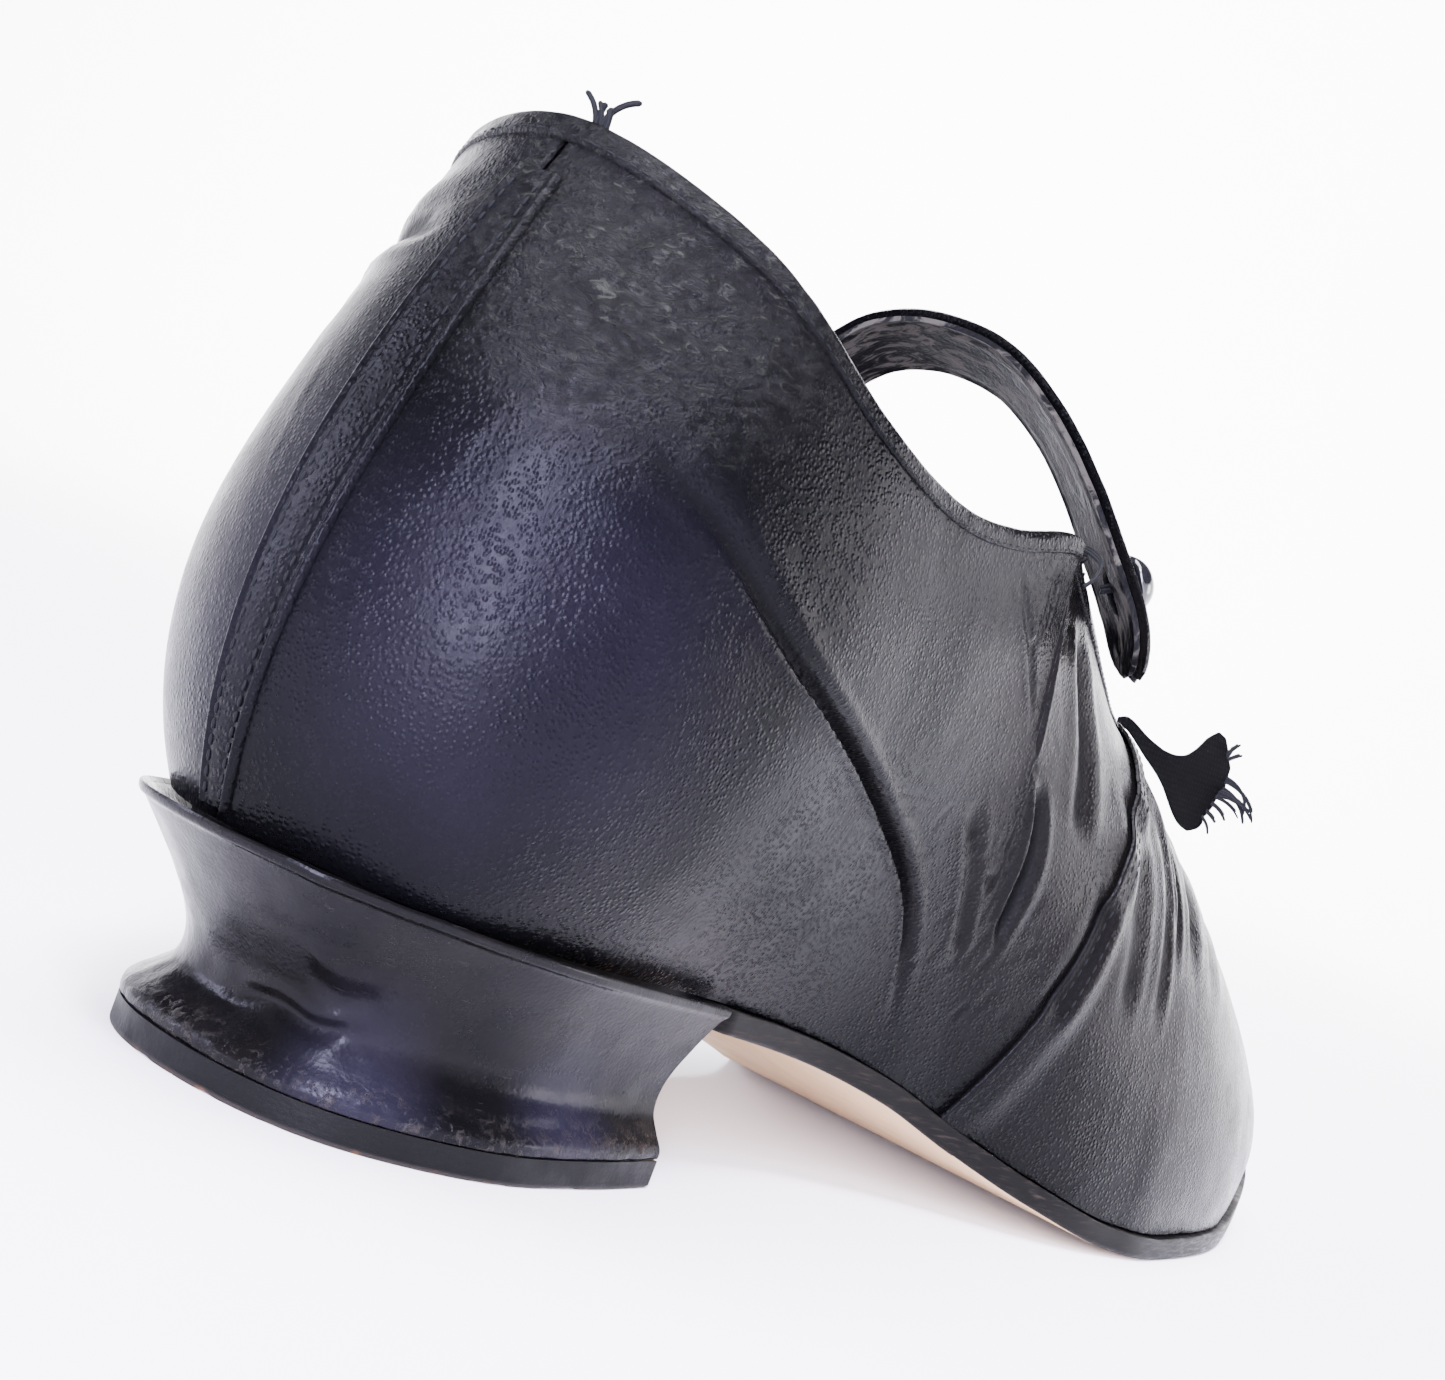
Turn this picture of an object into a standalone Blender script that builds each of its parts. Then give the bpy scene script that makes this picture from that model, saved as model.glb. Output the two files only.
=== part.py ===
"""One-bar button shoe for the right foot, built piece by piece.

+X points to the toe, +Y to the inner (medial) side of the foot, +Z up. The origin is the centre of
the heel's ground face. The tables below are in millimetres, with x measured forward from the back of
the heel's ground face, and put() turns them into metres in the part's own frame.
"""
import math

import bmesh
import bpy
import numpy as np
from mathutils import Vector

MM = 0.001
HEEL_CENTRE_X = 27.0      # from the back of the heel's ground face to the origin
GAP = 0.3                 # clearance between neighbouring pieces
LAYER_GAP = 0.7           # clearance between the curved layers of the upper

# Thicknesses, from the ground up and from the outside in
TOP_PIECE = 3.3
SOLE = 3.3
MARGIN_LEVEL = 1.2        # lasted margin, shank and filler lie in this layer
INSOLE = 2.0
SOCK = 0.8
UPPER = 1.2
STIFFENER = 1.0
LINING = 0.8
COVER = 0.9

# The last: one row for each station round the shoe, from the toe along the outer (lateral) side to
# the heel and back along the inner side. Each row holds the sole's edge (x, y), the top of the upper
# (x, y, z), and the handles of the wall's curve: out and up from its foot, out and down from its top.
LAST = [
    (250, -0.5, 237, -1, 28, 3, 8, 6, 3.5),          # toe tip
    (244, -15, 232, -1, 31, 2, 9, 8, 3.8),
    (228, -27, 221, -1.5, 37, 2, 13, 12, 3.3),
    (205, -37, 203, -2, 46, 2, 18, 18, 3.1),
    (180, -44.3, 181, -2.5, 56, 2, 23, 23, 1.7),
    (154, -46.7, 158, -3, 66.8, 2, 28, 25, 0),       # throat
    (141, -45.2, 149, -14, 69.2, 2, 27, 18, 4),
    (128, -41.5, 124, -23, 74.5, 3, 24, 12, 10),
    (109, -33, 92.5, -29.5, 87.5, 5, 24, 5, 20),     # front of the top corner
    (97, -28.8, 86.5, -31, 90.3, 6, 24, 4, 22),
    (80, -24.8, 71, -32, 87.6, 8, 22, 4, 22),
    (56, -23.8, 56, -32.3, 87.3, 12, 20, 4, 22),
    (26, -25.6, 37, -31.7, 92, 14, 22, 5, 24),
    (3.6, -20, 18, -22.5, 103.6, 14, 24, 8, 28),
    (-8.5, 0, 8.2, 0, 110.2, 10, 24, 16, 30),        # heel back
    (3.6, 20, 16, 22, 105.6, 15, 24, 8, 28),
    (26, 25.6, 37, 31.5, 92, 15, 22, 5, 24),
    (56, 24.2, 57, 31.5, 87.3, 12, 20, 4, 22),
    (80, 21.5, 76, 31, 87.8, 8, 22, 4, 22),
    (98, 18.2, 94, 29.6, 91, 6, 24, 4, 22),
    (112, 17.6, 107, 26.8, 90, 5, 24, 5, 20),        # front of the strap's root
    (129, 19.8, 127, 21, 74.5, 4, 24, 12, 10),
    (141, 24.6, 149, 10, 69.2, 3, 27, 16, 4),
    (154, 30.4, 158, -3, 66.8, 2, 28, 23, 0),        # throat
    (180, 36.8, 181, -2.5, 56, 2, 23, 21, 0.5),
    (205, 33.3, 203, -2, 46, 2, 18, 18, 2.4),
    (228, 25, 221, -1.5, 37, 2, 13, 12, 2.6),
    (244, 15, 232, -1, 31, 2, 9, 8, 4),
]
ROUND = len(LAST)         # stations in one turn
THROAT = 5.0              # station where the vamp opens; the inner side has it at ROUND - THROAT
BACK = 14.0               # station of the back seam
COUNTER_END = 10.0        # the heel counter reaches forward to this station
STATION_LENGTH = 22.0     # a station's usual length round the shoe
BACK_SEAM_GAP = 0.5       # each quarter stops this far short of the back seam
STRAP_ROOT = (18.95, 20.0)    # the binding stops either side of the strap

# Underside of the outsole in side view: seat, waist, flat tread, toe spring
SOLE_LINE = [(-10, 24.6), (30, 21.4), (60, 19.0), (80, 16.9), (97, 13.6), (110, 9.3), (125, 4.8),
             (143, 1.0), (158, 0.0), (186, 0.0), (205, 2.0), (228, 5.6), (252, 10.5)]
WALL_INSET = 1.0          # the upper stands inside the sole's edge by this much
SEAT_INSET = 4.2          # at the heel the sole is trimmed to fit inside the heel cover's lip
SEAT_STEP = (10.75, 10.95)    # that trim steps in between these stations, behind the heel's breast
MARGIN = 8.0              # width of the lasted margin turned in under the insole
FILLER_END = 6.2          # the forepart filler ends at this station
SHANK_SPAN = (46, 130)    # x of the shank's ends
SHANK_HALF = (6.0, 4.0)   # half its width in the middle and at its ends
SHANK_MIDDLE_Y = -1.0
LINING_SPAN = (0.035, 0.985)  # height of the quarter linings on the wall
PUFF_SHARE = 0.4          # the toe puff covers this share of the way to the vamp seam
BACK_STRIP_HALF = 0.115   # half the back strip's width, in stations
BACK_STRIP_SPAN = (0.04, 0.93)
BACK_STRIP_THICK = 0.6
BINDING_RADIUS = 0.85
BINDING_ABOVE = 2.0       # the binding's middle above the upper's edge
BINDING_INSIDE = 1.2      # and inside its face

# Heel: outline of its ground face and of its lip, breast (outer side) round the back to the breast
GROUND_OUTLINE = [(54.0, -26.4), (40, -27.6), (24, -27), (10, -21), (2.5, -12.5), (0, 0),
                  (2.5, 12.5), (10, 21), (24, 27), (40, 27.6), (56.3, 26.5)]
LIP_OUTLINE = [(60, -25), (39, -27.3), (20, -26.9), (3, -21.1), (-7, -12.2), (-10, 0),
               (-7, 12.2), (3, 21.1), (20, 26.9), (39, 27.3), (62, 25.4)]
# How far the cover draws in between them: (share of its height, inset)
HEEL_WAIST = [(0, 0), (0.06, 0.2), (0.14, 2.4), (0.24, 5.1), (0.36, 6.0), (0.5, 5.5), (0.7, 3.7),
              (0.86, 1.8), (1, 0)]
SEAT_SHARE = 0.85         # the heel block ends at this share of the cover's height
NAIL_SPOTS = [(10, 7.2), (9.5, 3.4), (10.2, 0.2), (9.8, -2.6), (10.3, -5.0), (27.3, 18), (45, 18),
              (28.2, -15.3), (47.3, -16)]
NAIL_RADIUS = 0.5
NAIL_SPAN = (0.6, 9.0)    # z of a top-piece nail
SEAT_NAIL_SPOTS = [(12, 0), (22, -12.5), (22, 12.5), (42, -13.5), (42, 13.5)]
SEAT_NAIL_RADIUS = 0.8
SEAT_NAIL_LENGTH = 16.0

# Strap: middle of its outer face from the root on the inner side over the instep to the tip
STRAP_PATH = [(101, 27.9, 92.2), (101.3, 27.2, 98.6), (101.8, 24.0, 105.2), (102.2, 17.2, 110.6),
              (102.5, 7.6, 112.7), (102.8, -3.2, 111.2), (103.2, -13.6, 105.2), (103.6, -22.8, 96.6),
              (104, -29.8, 88.6), (104.3, -34.3, 82.8), (104.6, -37, 77.6)]
STRAP_TWIST = ((0, 0.8, 3, 7, 10), (0, 2, 25, 42, 46))     # places and the turn there in degrees
STRAP_WIDTH = 11.2
STRAP_THICK = 1.4
STRAP_LINING = 0.7
SLOT_HALF = 1.75
SLOT_START = 7.75         # place along the path where the buttonhole starts
TAPER_START = 8.9         # place along the path where the tip starts to narrow
BUTTON_PLACE = 8.1        # place along the path where the button sits
BUTTON_PROFILE = [(0, 3.0), (1.5, 2.8), (2.8, 2.1), (3.6, 1.1), (3.75, 0.4), (3.5, 0.0), (0, 0.0)]
BUTTON_GAP = 0.8
SHANK_RADIUS = 0.6
THREAD_PATH = [(90.6, -32.1, 85.2), (92.6, -32.3, 87.2), (94.8, -30.8, 89.2), (96.8, -27.0, 90.3),
               (99.4, -25.3, 89.0), (101.6, -25.4, 87.2)]
THREAD_RADIUS = 0.5

# Ribbon end at the throat: middle line, half width at each point, and the way the width runs
RIBBON_PATH = [(148.5, -15.9, 71.8), (153, -17.8, 69.8), (159, -19.4, 68), (165, -20.8, 66.8),
               (171.5, -22.2, 66.8)]
RIBBON_HALF = [1.3, 2.1, 3.6, 7.2, 8.8]
RIBBON_ACROSS = (0.15, 0.10, 0.98)
RIBBON_THICK = 0.6

BLACK = (0.012, 0.012, 0.016)
TAN = (0.50, 0.33, 0.19)


# ---------------------------------------------------------------- curves and surfaces
def put(points):
    """Millimetres from the heel's back edge to metres in the part's frame."""
    return (np.asarray(points, float) - (HEEL_CENTRE_X, 0, 0)) * MM


def spline(p0, p1, p2, p3, t):
    """One Catmull-Rom span."""
    return 0.5 * (2 * p1 + (p2 - p0) * t + (2 * p0 - 5 * p1 + 4 * p2 - p3) * t ** 2
                  + (3 * p1 - p0 - 3 * p2 + p3) * t ** 3)


def around(table, u):
    """Closed curve through the rows of a table."""
    table = np.asarray(table, float)
    first = np.floor(u).astype(int)
    rows = [table[(first + k) % len(table)] for k in (-1, 0, 1, 2)]
    return spline(*rows, (u - first)[..., None])


def along(table, w):
    """Open curve through the rows of a table, w from 0 to its last row."""
    table = np.asarray(table, float)
    last = len(table) - 1
    w = np.clip(w, 0, last)
    first = np.minimum(np.floor(w).astype(int), last - 1)
    padded = np.vstack([2 * table[0] - table[1], table, 2 * table[-1] - table[-2]])
    rows = [padded[first + k] for k in (0, 1, 2, 3)]
    return spline(*rows, (w - first)[..., None])


def sole_line(x):
    """Height of the outsole's underside, without overshoot between its points."""
    xs, zs = np.array(SOLE_LINE, float).T
    steps = np.diff(xs)
    grades = np.diff(zs) / steps
    slopes = np.concatenate([grades[:1], np.zeros(len(xs) - 2), grades[-1:]])
    for k in range(1, len(xs) - 1):
        if grades[k - 1] * grades[k] > 0:
            slopes[k] = 2 / (1 / grades[k - 1] + 1 / grades[k])
    x = np.clip(x, xs[0], xs[-1])
    k = np.clip(np.searchsorted(xs, x) - 1, 0, len(steps) - 1)
    t = (x - xs[k]) / steps[k]
    return (zs[k] * (1 + 2 * t) * (1 - t) ** 2 + steps[k] * slopes[k] * t * (1 - t) ** 2
            + zs[k + 1] * t ** 2 * (3 - 2 * t) + steps[k] * slopes[k + 1] * t ** 2 * (t - 1))


def smoothstep(low, high, value):
    t = np.clip((value - low) / (high - low), 0, 1)
    return t * t * (3 - 2 * t)


def edge(u, inset):
    """The sole's edge in plan, moved inward by inset, and its outward direction."""
    u = np.asarray(u, float)
    point = around(LAST, u)[..., :2]
    run = around(LAST, u + 0.01)[..., :2] - around(LAST, u - 0.01)[..., :2]
    run = run / np.linalg.norm(run, axis=-1, keepdims=True)
    outward = np.stack([-run[..., 1], run[..., 0]], -1)
    return point - outward * np.asarray(inset)[..., None], outward


def wall(u, v):
    """The outer face of the upper: u round the shoe, v from the sole (0) to the top (1)."""
    u, v = np.broadcast_arrays(np.asarray(u, float) % ROUND, np.asarray(v, float))
    row = around(LAST, u)
    mirror = around(LAST, (ROUND - u) % ROUND)
    ridge = ((u < THROAT) | (u > ROUND - THROAT))[..., None]
    top = np.where(ridge, 0.5 * (row[..., 2:5] + mirror[..., 2:5]), row[..., 2:5])
    plan, outward = edge(u, WALL_INSET)
    foot = np.concatenate([plan, (sole_line(plan[..., 0]) + SOLE + GAP)[..., None]], -1)
    outward = np.concatenate([outward, np.zeros(outward.shape[:-1] + (1,))], -1)
    up = np.array([0, 0, 1.0])
    low = foot + outward * row[..., 5:6] + up * row[..., 6:7]
    high = top + outward * row[..., 7:8] - up * row[..., 8:9]
    v = v[..., None]
    return (foot * (1 - v) ** 3 + 3 * low * v * (1 - v) ** 2 + 3 * high * v ** 2 * (1 - v)
            + top * v ** 3)


def wall_normal(u, v):
    """Outward direction of the upper's face; the very top takes the direction just below it."""
    step = 0.01
    u, v = np.broadcast_arrays(np.asarray(u, float), np.clip(v, 0.02, 0.97))
    below, above = v - step, v + step
    normal = np.cross(wall(u, above) - wall(u, below), wall(u + step, v) - wall(u - step, v))
    return normal / np.linalg.norm(normal, axis=-1, keepdims=True)


def layer(u, v, depth):
    """The surface that lies depth inside the upper's face."""
    return wall(u, v) - wall_normal(u, v) * np.asarray(depth)[..., None]


def seam(v):
    """Station of the vamp seam on the outer side, at height v."""
    return 8.0 - 1.75 * np.asarray(v, float)


def lining_depth(u, v):
    """The lining lies against the leather, and steps inside the toe puff and the heel counter."""
    round_u = np.minimum(u % ROUND, ROUND - u % ROUND)
    toe = 1 - smoothstep(3.4, 4.4, round_u)
    heel = smoothstep(COUNTER_END - 1.0, COUNTER_END - 0.2, round_u) * (1 - smoothstep(0.74, 0.92, v))
    return UPPER + LAYER_GAP + (STIFFENER + LAYER_GAP) * np.maximum(toe, heel)


def margin_row(u):
    """Inner edge of the lasted margin, under the insole."""
    plan, _ = edge(u, WALL_INSET + MARGIN)
    return np.concatenate([plan, (sole_line(plan[..., 0]) + SOLE + GAP)[..., None]], -1)


def strips(left, right, across):
    """Grid between two edges that run side by side."""
    share = np.linspace(0, 1, across)[None, :, None]
    return left[:, None] * (1 - share) + right[:, None] * share


def heel_ring(w, t):
    """Heel outline in plan at share t of the cover's height, w round it; inset comes with t."""
    w, t = np.broadcast_arrays(np.asarray(w, float), np.asarray(t, float))
    lean = (t ** 1.6)[..., None]

    def blend(place):
        return along(GROUND_OUTLINE, place) * (1 - lean) + along(LIP_OUTLINE, place) * lean

    point = blend(w)
    run = blend(w + 0.05) - blend(w - 0.05)
    run = run / np.linalg.norm(run, axis=-1, keepdims=True)
    inward = np.stack([run[..., 1], -run[..., 0]], -1)
    waist = along(HEEL_WAIST, np.interp(t, [p[0] for p in HEEL_WAIST], range(len(HEEL_WAIST))))[..., 1]
    fade = 0.55 + 0.45 * np.sin(np.pi * w / (len(GROUND_OUTLINE) - 1))
    return point, inward, waist * fade


def heel_surface(w, t, inset=0.0):
    """Heel cover's outer face, moved inward by inset."""
    point, inward, waist = heel_ring(w, t)
    plan = point + inward * (waist + inset)[..., None]
    base = TOP_PIECE + GAP
    lip = sole_line(plan[..., 0]) + SOLE
    return np.concatenate([plan, (base + np.asarray(t) * (lip - base))[..., None]], -1)


# ---------------------------------------------------------------- meshes and modifiers
def clear_scene():
    for thing in list(bpy.data.objects):
        bpy.data.objects.remove(thing, do_unlink=True)


def collection(name):
    made = bpy.data.collections.new(name)
    bpy.context.scene.collection.children.link(made)
    return made


def finish(name, color, roughness, metallic=0.0):
    made = bpy.data.materials.new(name)
    made.use_nodes = True
    shader = made.node_tree.nodes["Principled BSDF"]
    shader.inputs["Base Color"].default_value = (*color, 1)
    shader.inputs["Roughness"].default_value = roughness
    shader.inputs["Metallic"].default_value = metallic
    return made


def add(name, mesh, material):
    mesh.materials.append(material)
    made = bpy.data.objects.new(name, mesh)
    PARTS.objects.link(made)
    mesh.shade_smooth()
    mesh.set_sharp_from_angle(angle=math.radians(40))
    return made


def grid_mesh(name, points, flip=False, skip=None):
    """Open surface over a grid of points in millimetres; skip(i, j) leaves a face out."""
    metres = put(points)
    rows, columns = metres.shape[:2]
    mesh_edit = bmesh.new()
    corners = [[mesh_edit.verts.new(metres[i, j]) for j in range(columns)] for i in range(rows)]
    for i in range(rows - 1):
        for j in range(columns - 1):
            if skip and skip(i, j):
                continue
            ring = [corners[i][j], corners[i][j + 1], corners[i + 1][j + 1], corners[i + 1][j]]
            mesh_edit.faces.new(ring[::-1] if flip else ring)
    bmesh.ops.remove_doubles(mesh_edit, verts=mesh_edit.verts, dist=2e-6)
    bmesh.ops.dissolve_degenerate(mesh_edit, edges=mesh_edit.edges, dist=2e-6)
    loose = [v for v in mesh_edit.verts if not v.link_faces]
    bmesh.ops.delete(mesh_edit, geom=loose, context="VERTS")
    mesh = bpy.data.meshes.new(name)
    mesh_edit.to_mesh(mesh)
    mesh_edit.free()
    return mesh


def sheet(name, points, thickness, material, flip=False, skip=None):
    """A piece of sheet material: a surface thickened away from its outer face."""
    made = add(name, grid_mesh(name, points, flip, skip), material)
    solid = made.modifiers.new("thickness", "SOLIDIFY")
    solid.thickness = thickness * MM
    solid.offset = -1
    return made


def plate(name, stations, inset, level, thickness, material, across=6):
    """A sole-shaped layer whose underside lies level above the outsole's underside."""
    left, _ = edge(stations, inset)
    right, _ = edge(ROUND - stations, inset)
    plan = strips(left, right, across)
    height = sole_line(plan[..., 0]) + level
    return sheet(name, np.concatenate([plan, height[..., None]], -1), thickness, material, flip=True)


def cut(target, cutter):
    boolean = target.modifiers.new("holes", "BOOLEAN")
    boolean.operation = "DIFFERENCE"
    boolean.solver = "EXACT"
    boolean.object = cutter


def pins_mesh(name, spots, radius, segments=10):
    """Upright cylinders; each spot is (x, y, bottom, top) in millimetres."""
    mesh_edit = bmesh.new()
    for x, y, bottom, top in spots:
        made = bmesh.ops.create_cone(mesh_edit, cap_ends=True, segments=segments,
                                     radius1=radius * MM, radius2=radius * MM, depth=(top - bottom) * MM)
        bmesh.ops.translate(mesh_edit, verts=made["verts"], vec=put((x, y, (bottom + top) / 2)))
    mesh = bpy.data.meshes.new(name)
    mesh_edit.to_mesh(mesh)
    mesh_edit.free()
    return mesh


def cutter(name, spots, radius):
    made = bpy.data.objects.new(name, pins_mesh(name, spots, radius))
    CUTTERS.objects.link(made)
    made.hide_render = True
    made.display_type = "WIRE"
    return made


def tube(name, points, radius, material, cyclic=False, resolution=1):
    curve = bpy.data.curves.new(name, "CURVE")
    curve.dimensions = "3D"
    curve.bevel_depth = radius * MM
    curve.bevel_resolution = resolution
    curve.use_fill_caps = True
    line = curve.splines.new("POLY")
    line.points.add(len(points) - 1)
    for point, place in zip(line.points, put(points)):
        point.co = (*place, 1)
    line.use_cyclic_u = cyclic
    curve.materials.append(material)
    made = bpy.data.objects.new(name, curve)
    PARTS.objects.link(made)
    return made


# ---------------------------------------------------------------- bottom
def make_outsole(material):
    stations = np.linspace(0, BACK, 40)
    seat = smoothstep(*SEAT_STEP, stations)
    return plate("outsole", stations, seat * SEAT_INSET, 0, SOLE, material, across=7)


def make_bottom_layers(leather, cork, steel, board):
    margin_level = SOLE + GAP
    insole_level = margin_level + MARGIN_LEVEL + GAP
    sock_level = insole_level + INSOLE + GAP
    insole_inset = WALL_INSET + UPPER + STIFFENER + LINING + 4 * LAYER_GAP
    insole = plate("insole", np.linspace(0, BACK, 30), insole_inset, insole_level, INSOLE, board, 5)
    plate("sock_lining", np.linspace(0, BACK, 30), insole_inset + GAP, sock_level, SOCK, leather, 5)
    filler_inset = WALL_INSET + MARGIN + 6 * GAP
    plate("forepart_filler", np.linspace(0, FILLER_END, 12), filler_inset, margin_level,
          MARGIN_LEVEL, cork, 4)
    xs = np.linspace(*SHANK_SPAN, 14)
    wide, narrow = SHANK_HALF
    half = wide - (wide - narrow) * np.abs(np.linspace(-1, 1, 14)) ** 3
    left = np.stack([xs, SHANK_MIDDLE_Y - half, sole_line(xs) + margin_level], -1)
    right = np.stack([xs, SHANK_MIDDLE_Y + half, sole_line(xs) + margin_level], -1)
    sheet("shank", strips(left, right, 3), MARGIN_LEVEL, steel)
    return insole


# ---------------------------------------------------------------- heel
def make_heel(leather, wood, edge_leather):
    last = len(GROUND_OUTLINE) - 1
    middle = last / 2
    w = np.linspace(0, last, 33)
    t = np.array([0, 0.06, 0.14, 0.24, 0.37, 0.52, 0.68, 0.84, 0.93, 1.0])
    cover = heel_surface(w[:, None], t[None, :])
    sheet("heel_cover", cover, COVER, leather)

    lateral = np.linspace(0, middle, 17)
    ground = strips(along(GROUND_OUTLINE, lateral), along(GROUND_OUTLINE, last - lateral), 7)
    ground = np.concatenate([ground, np.zeros(ground.shape[:2] + (1,))], -1)
    top_piece = sheet("top_piece", ground, TOP_PIECE, edge_leather, flip=True)

    inset = 2 * COVER + GAP
    lateral = np.linspace(0.14, middle, 12)
    levels = []
    for share in np.linspace(0, 1, 7):
        height = share * SEAT_SHARE
        left = heel_surface(lateral, height, inset)[:, :2]
        right = heel_surface(last - lateral, height, inset)[:, :2]
        plan = strips(left, right, 5)
        bottom = TOP_PIECE + GAP
        z = bottom + share * (sole_line(plan[..., 0]) - GAP - bottom)
        levels.append(np.concatenate([plan, z[..., None]], -1))
    block = add("heel_block", stack_mesh("heel_block", levels), wood)

    t = np.linspace(0, SEAT_SHARE - 0.07, 8)
    left = heel_surface(np.full(8, 0.0), t)
    right = heel_surface(np.full(8, float(last)), t)
    inside = np.array([0, COVER + 2.2 * GAP, 0])
    sheet("heel_breast_cover", strips(left + inside, right - inside, 6), COVER, leather)
    return top_piece, block


def stack_mesh(name, levels):
    """Closed body from grids stacked upward: caps from the first and last, walls between all."""
    metres = [put(level) for level in levels]
    rows, columns = metres[0].shape[:2]
    rim = [(i, 0) for i in range(rows)] + [(rows - 1, j) for j in range(1, columns)]
    rim += [(i, columns - 1) for i in range(rows - 2, -1, -1)] + [(0, j) for j in range(columns - 2, 0, -1)]
    mesh_edit = bmesh.new()
    for grid, upward in ((metres[0], False), (metres[-1], True)):
        corners = [[mesh_edit.verts.new(grid[i, j]) for j in range(columns)] for i in range(rows)]
        for i in range(rows - 1):
            for j in range(columns - 1):
                ring = [corners[i][j], corners[i][j + 1], corners[i + 1][j + 1], corners[i + 1][j]]
                mesh_edit.faces.new(ring if upward else ring[::-1])
    loops = [[mesh_edit.verts.new(grid[i, j]) for i, j in rim] for grid in metres]
    for low, high in zip(loops, loops[1:]):
        for k in range(len(rim)):
            after = (k + 1) % len(rim)
            mesh_edit.faces.new([low[k], high[k], high[after], low[after]])
    bmesh.ops.remove_doubles(mesh_edit, verts=mesh_edit.verts, dist=2e-6)
    bmesh.ops.dissolve_degenerate(mesh_edit, edges=mesh_edit.edges, dist=2e-6)
    bmesh.ops.recalc_face_normals(mesh_edit, faces=mesh_edit.faces)
    mesh = bpy.data.meshes.new(name)
    mesh_edit.to_mesh(mesh)
    mesh_edit.free()
    return mesh


def make_nails(steel, top_piece, block, outsole, insole):
    low, high = NAIL_SPAN
    for number, (x, y) in enumerate(NAIL_SPOTS, 1):
        name = f"top_piece_nail_{number}"
        add(name, pins_mesh(name, [(x, y, low, high)], NAIL_RADIUS, 8), steel)
    holes = [(x, y, -1.0, high + GAP) for x, y in NAIL_SPOTS]
    nail_holes = cutter("top_piece_nail_holes", holes, NAIL_RADIUS + GAP)
    cut(top_piece, nail_holes)
    cut(block, nail_holes)

    insole_top = SOLE + GAP + MARGIN_LEVEL + GAP + INSOLE
    holes = []
    for number, (x, y) in enumerate(SEAT_NAIL_SPOTS, 1):
        name = f"heel_nail_{number}"
        top = float(sole_line(np.array(float(x)))) + insole_top - GAP
        bottom = top - SEAT_NAIL_LENGTH
        add(name, pins_mesh(name, [(x, y, bottom, top)], SEAT_NAIL_RADIUS, 8), steel)
        holes.append((x, y, bottom - GAP, top + 1.0))
    seat_holes = cutter("seat_nail_holes", holes, SEAT_NAIL_RADIUS + GAP)
    for piece in (block, outsole, insole):
        cut(piece, seat_holes)


# ---------------------------------------------------------------- upper
def wall_heights(low, high, count):
    """Heights v that crowd towards the top, where the wall curves over the instep."""
    share = np.linspace(0, 1, count)
    return low + (high - low) * 0.5 * (share + np.sin(share * np.pi / 2))


def upper_grid(stations, heights, depth, with_margin):
    """Grid on the upper; stations has one row of u values for each height in its columns."""
    points = layer(stations, heights[None, :], depth)
    if with_margin:
        points = np.concatenate([margin_row(stations[:, 0])[:, None], points], 1)
    return points


def vamp_grid(half_count, heights, depth, with_margin, end_share=1.0):
    """From the seam on the outer side round the toe to the seam on the inner side."""
    throat_share = THROAT / float(seam(1.0))
    shares = np.concatenate([np.linspace(1, throat_share, 4)[:-1],
                             np.linspace(throat_share, 0, half_count)])
    shares = shares * end_share
    shares = np.concatenate([shares, -shares[-2::-1]])
    stations = shares[:, None] * (seam(heights) - GAP / STATION_LENGTH)[None, :]
    if callable(depth):
        depth = depth(stations, heights[None, :])
    else:
        depth = np.full(stations.shape, depth)
    points = upper_grid(stations, heights, depth, with_margin)
    if heights[-1] == 1.0:
        ridge = np.abs(stations[:, -1]) < THROAT + 0.01
        middle = 0.5 * (points[:, -1] + points[::-1, -1])
        points[ridge, -1] = middle[ridge]
    return points


def quarter_stations(count, heights, inner, seam_gap=2 * GAP):
    """u values from the vamp seam to the back seam, clear of the pieces at each end."""
    front = seam(heights) + seam_gap / STATION_LENGTH
    back = BACK - BACK_SEAM_GAP / STATION_LENGTH
    share = np.linspace(0, 1, count)[:, None]
    stations = front[None, :] * (1 - share) + back * share
    return ROUND - stations if inner else stations


def counter_top(u):
    """Height v of the heel counter's upper edge."""
    from_back = np.abs(u - BACK)
    return 0.70 - 0.055 * from_back - 0.013 * from_back ** 2


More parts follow.
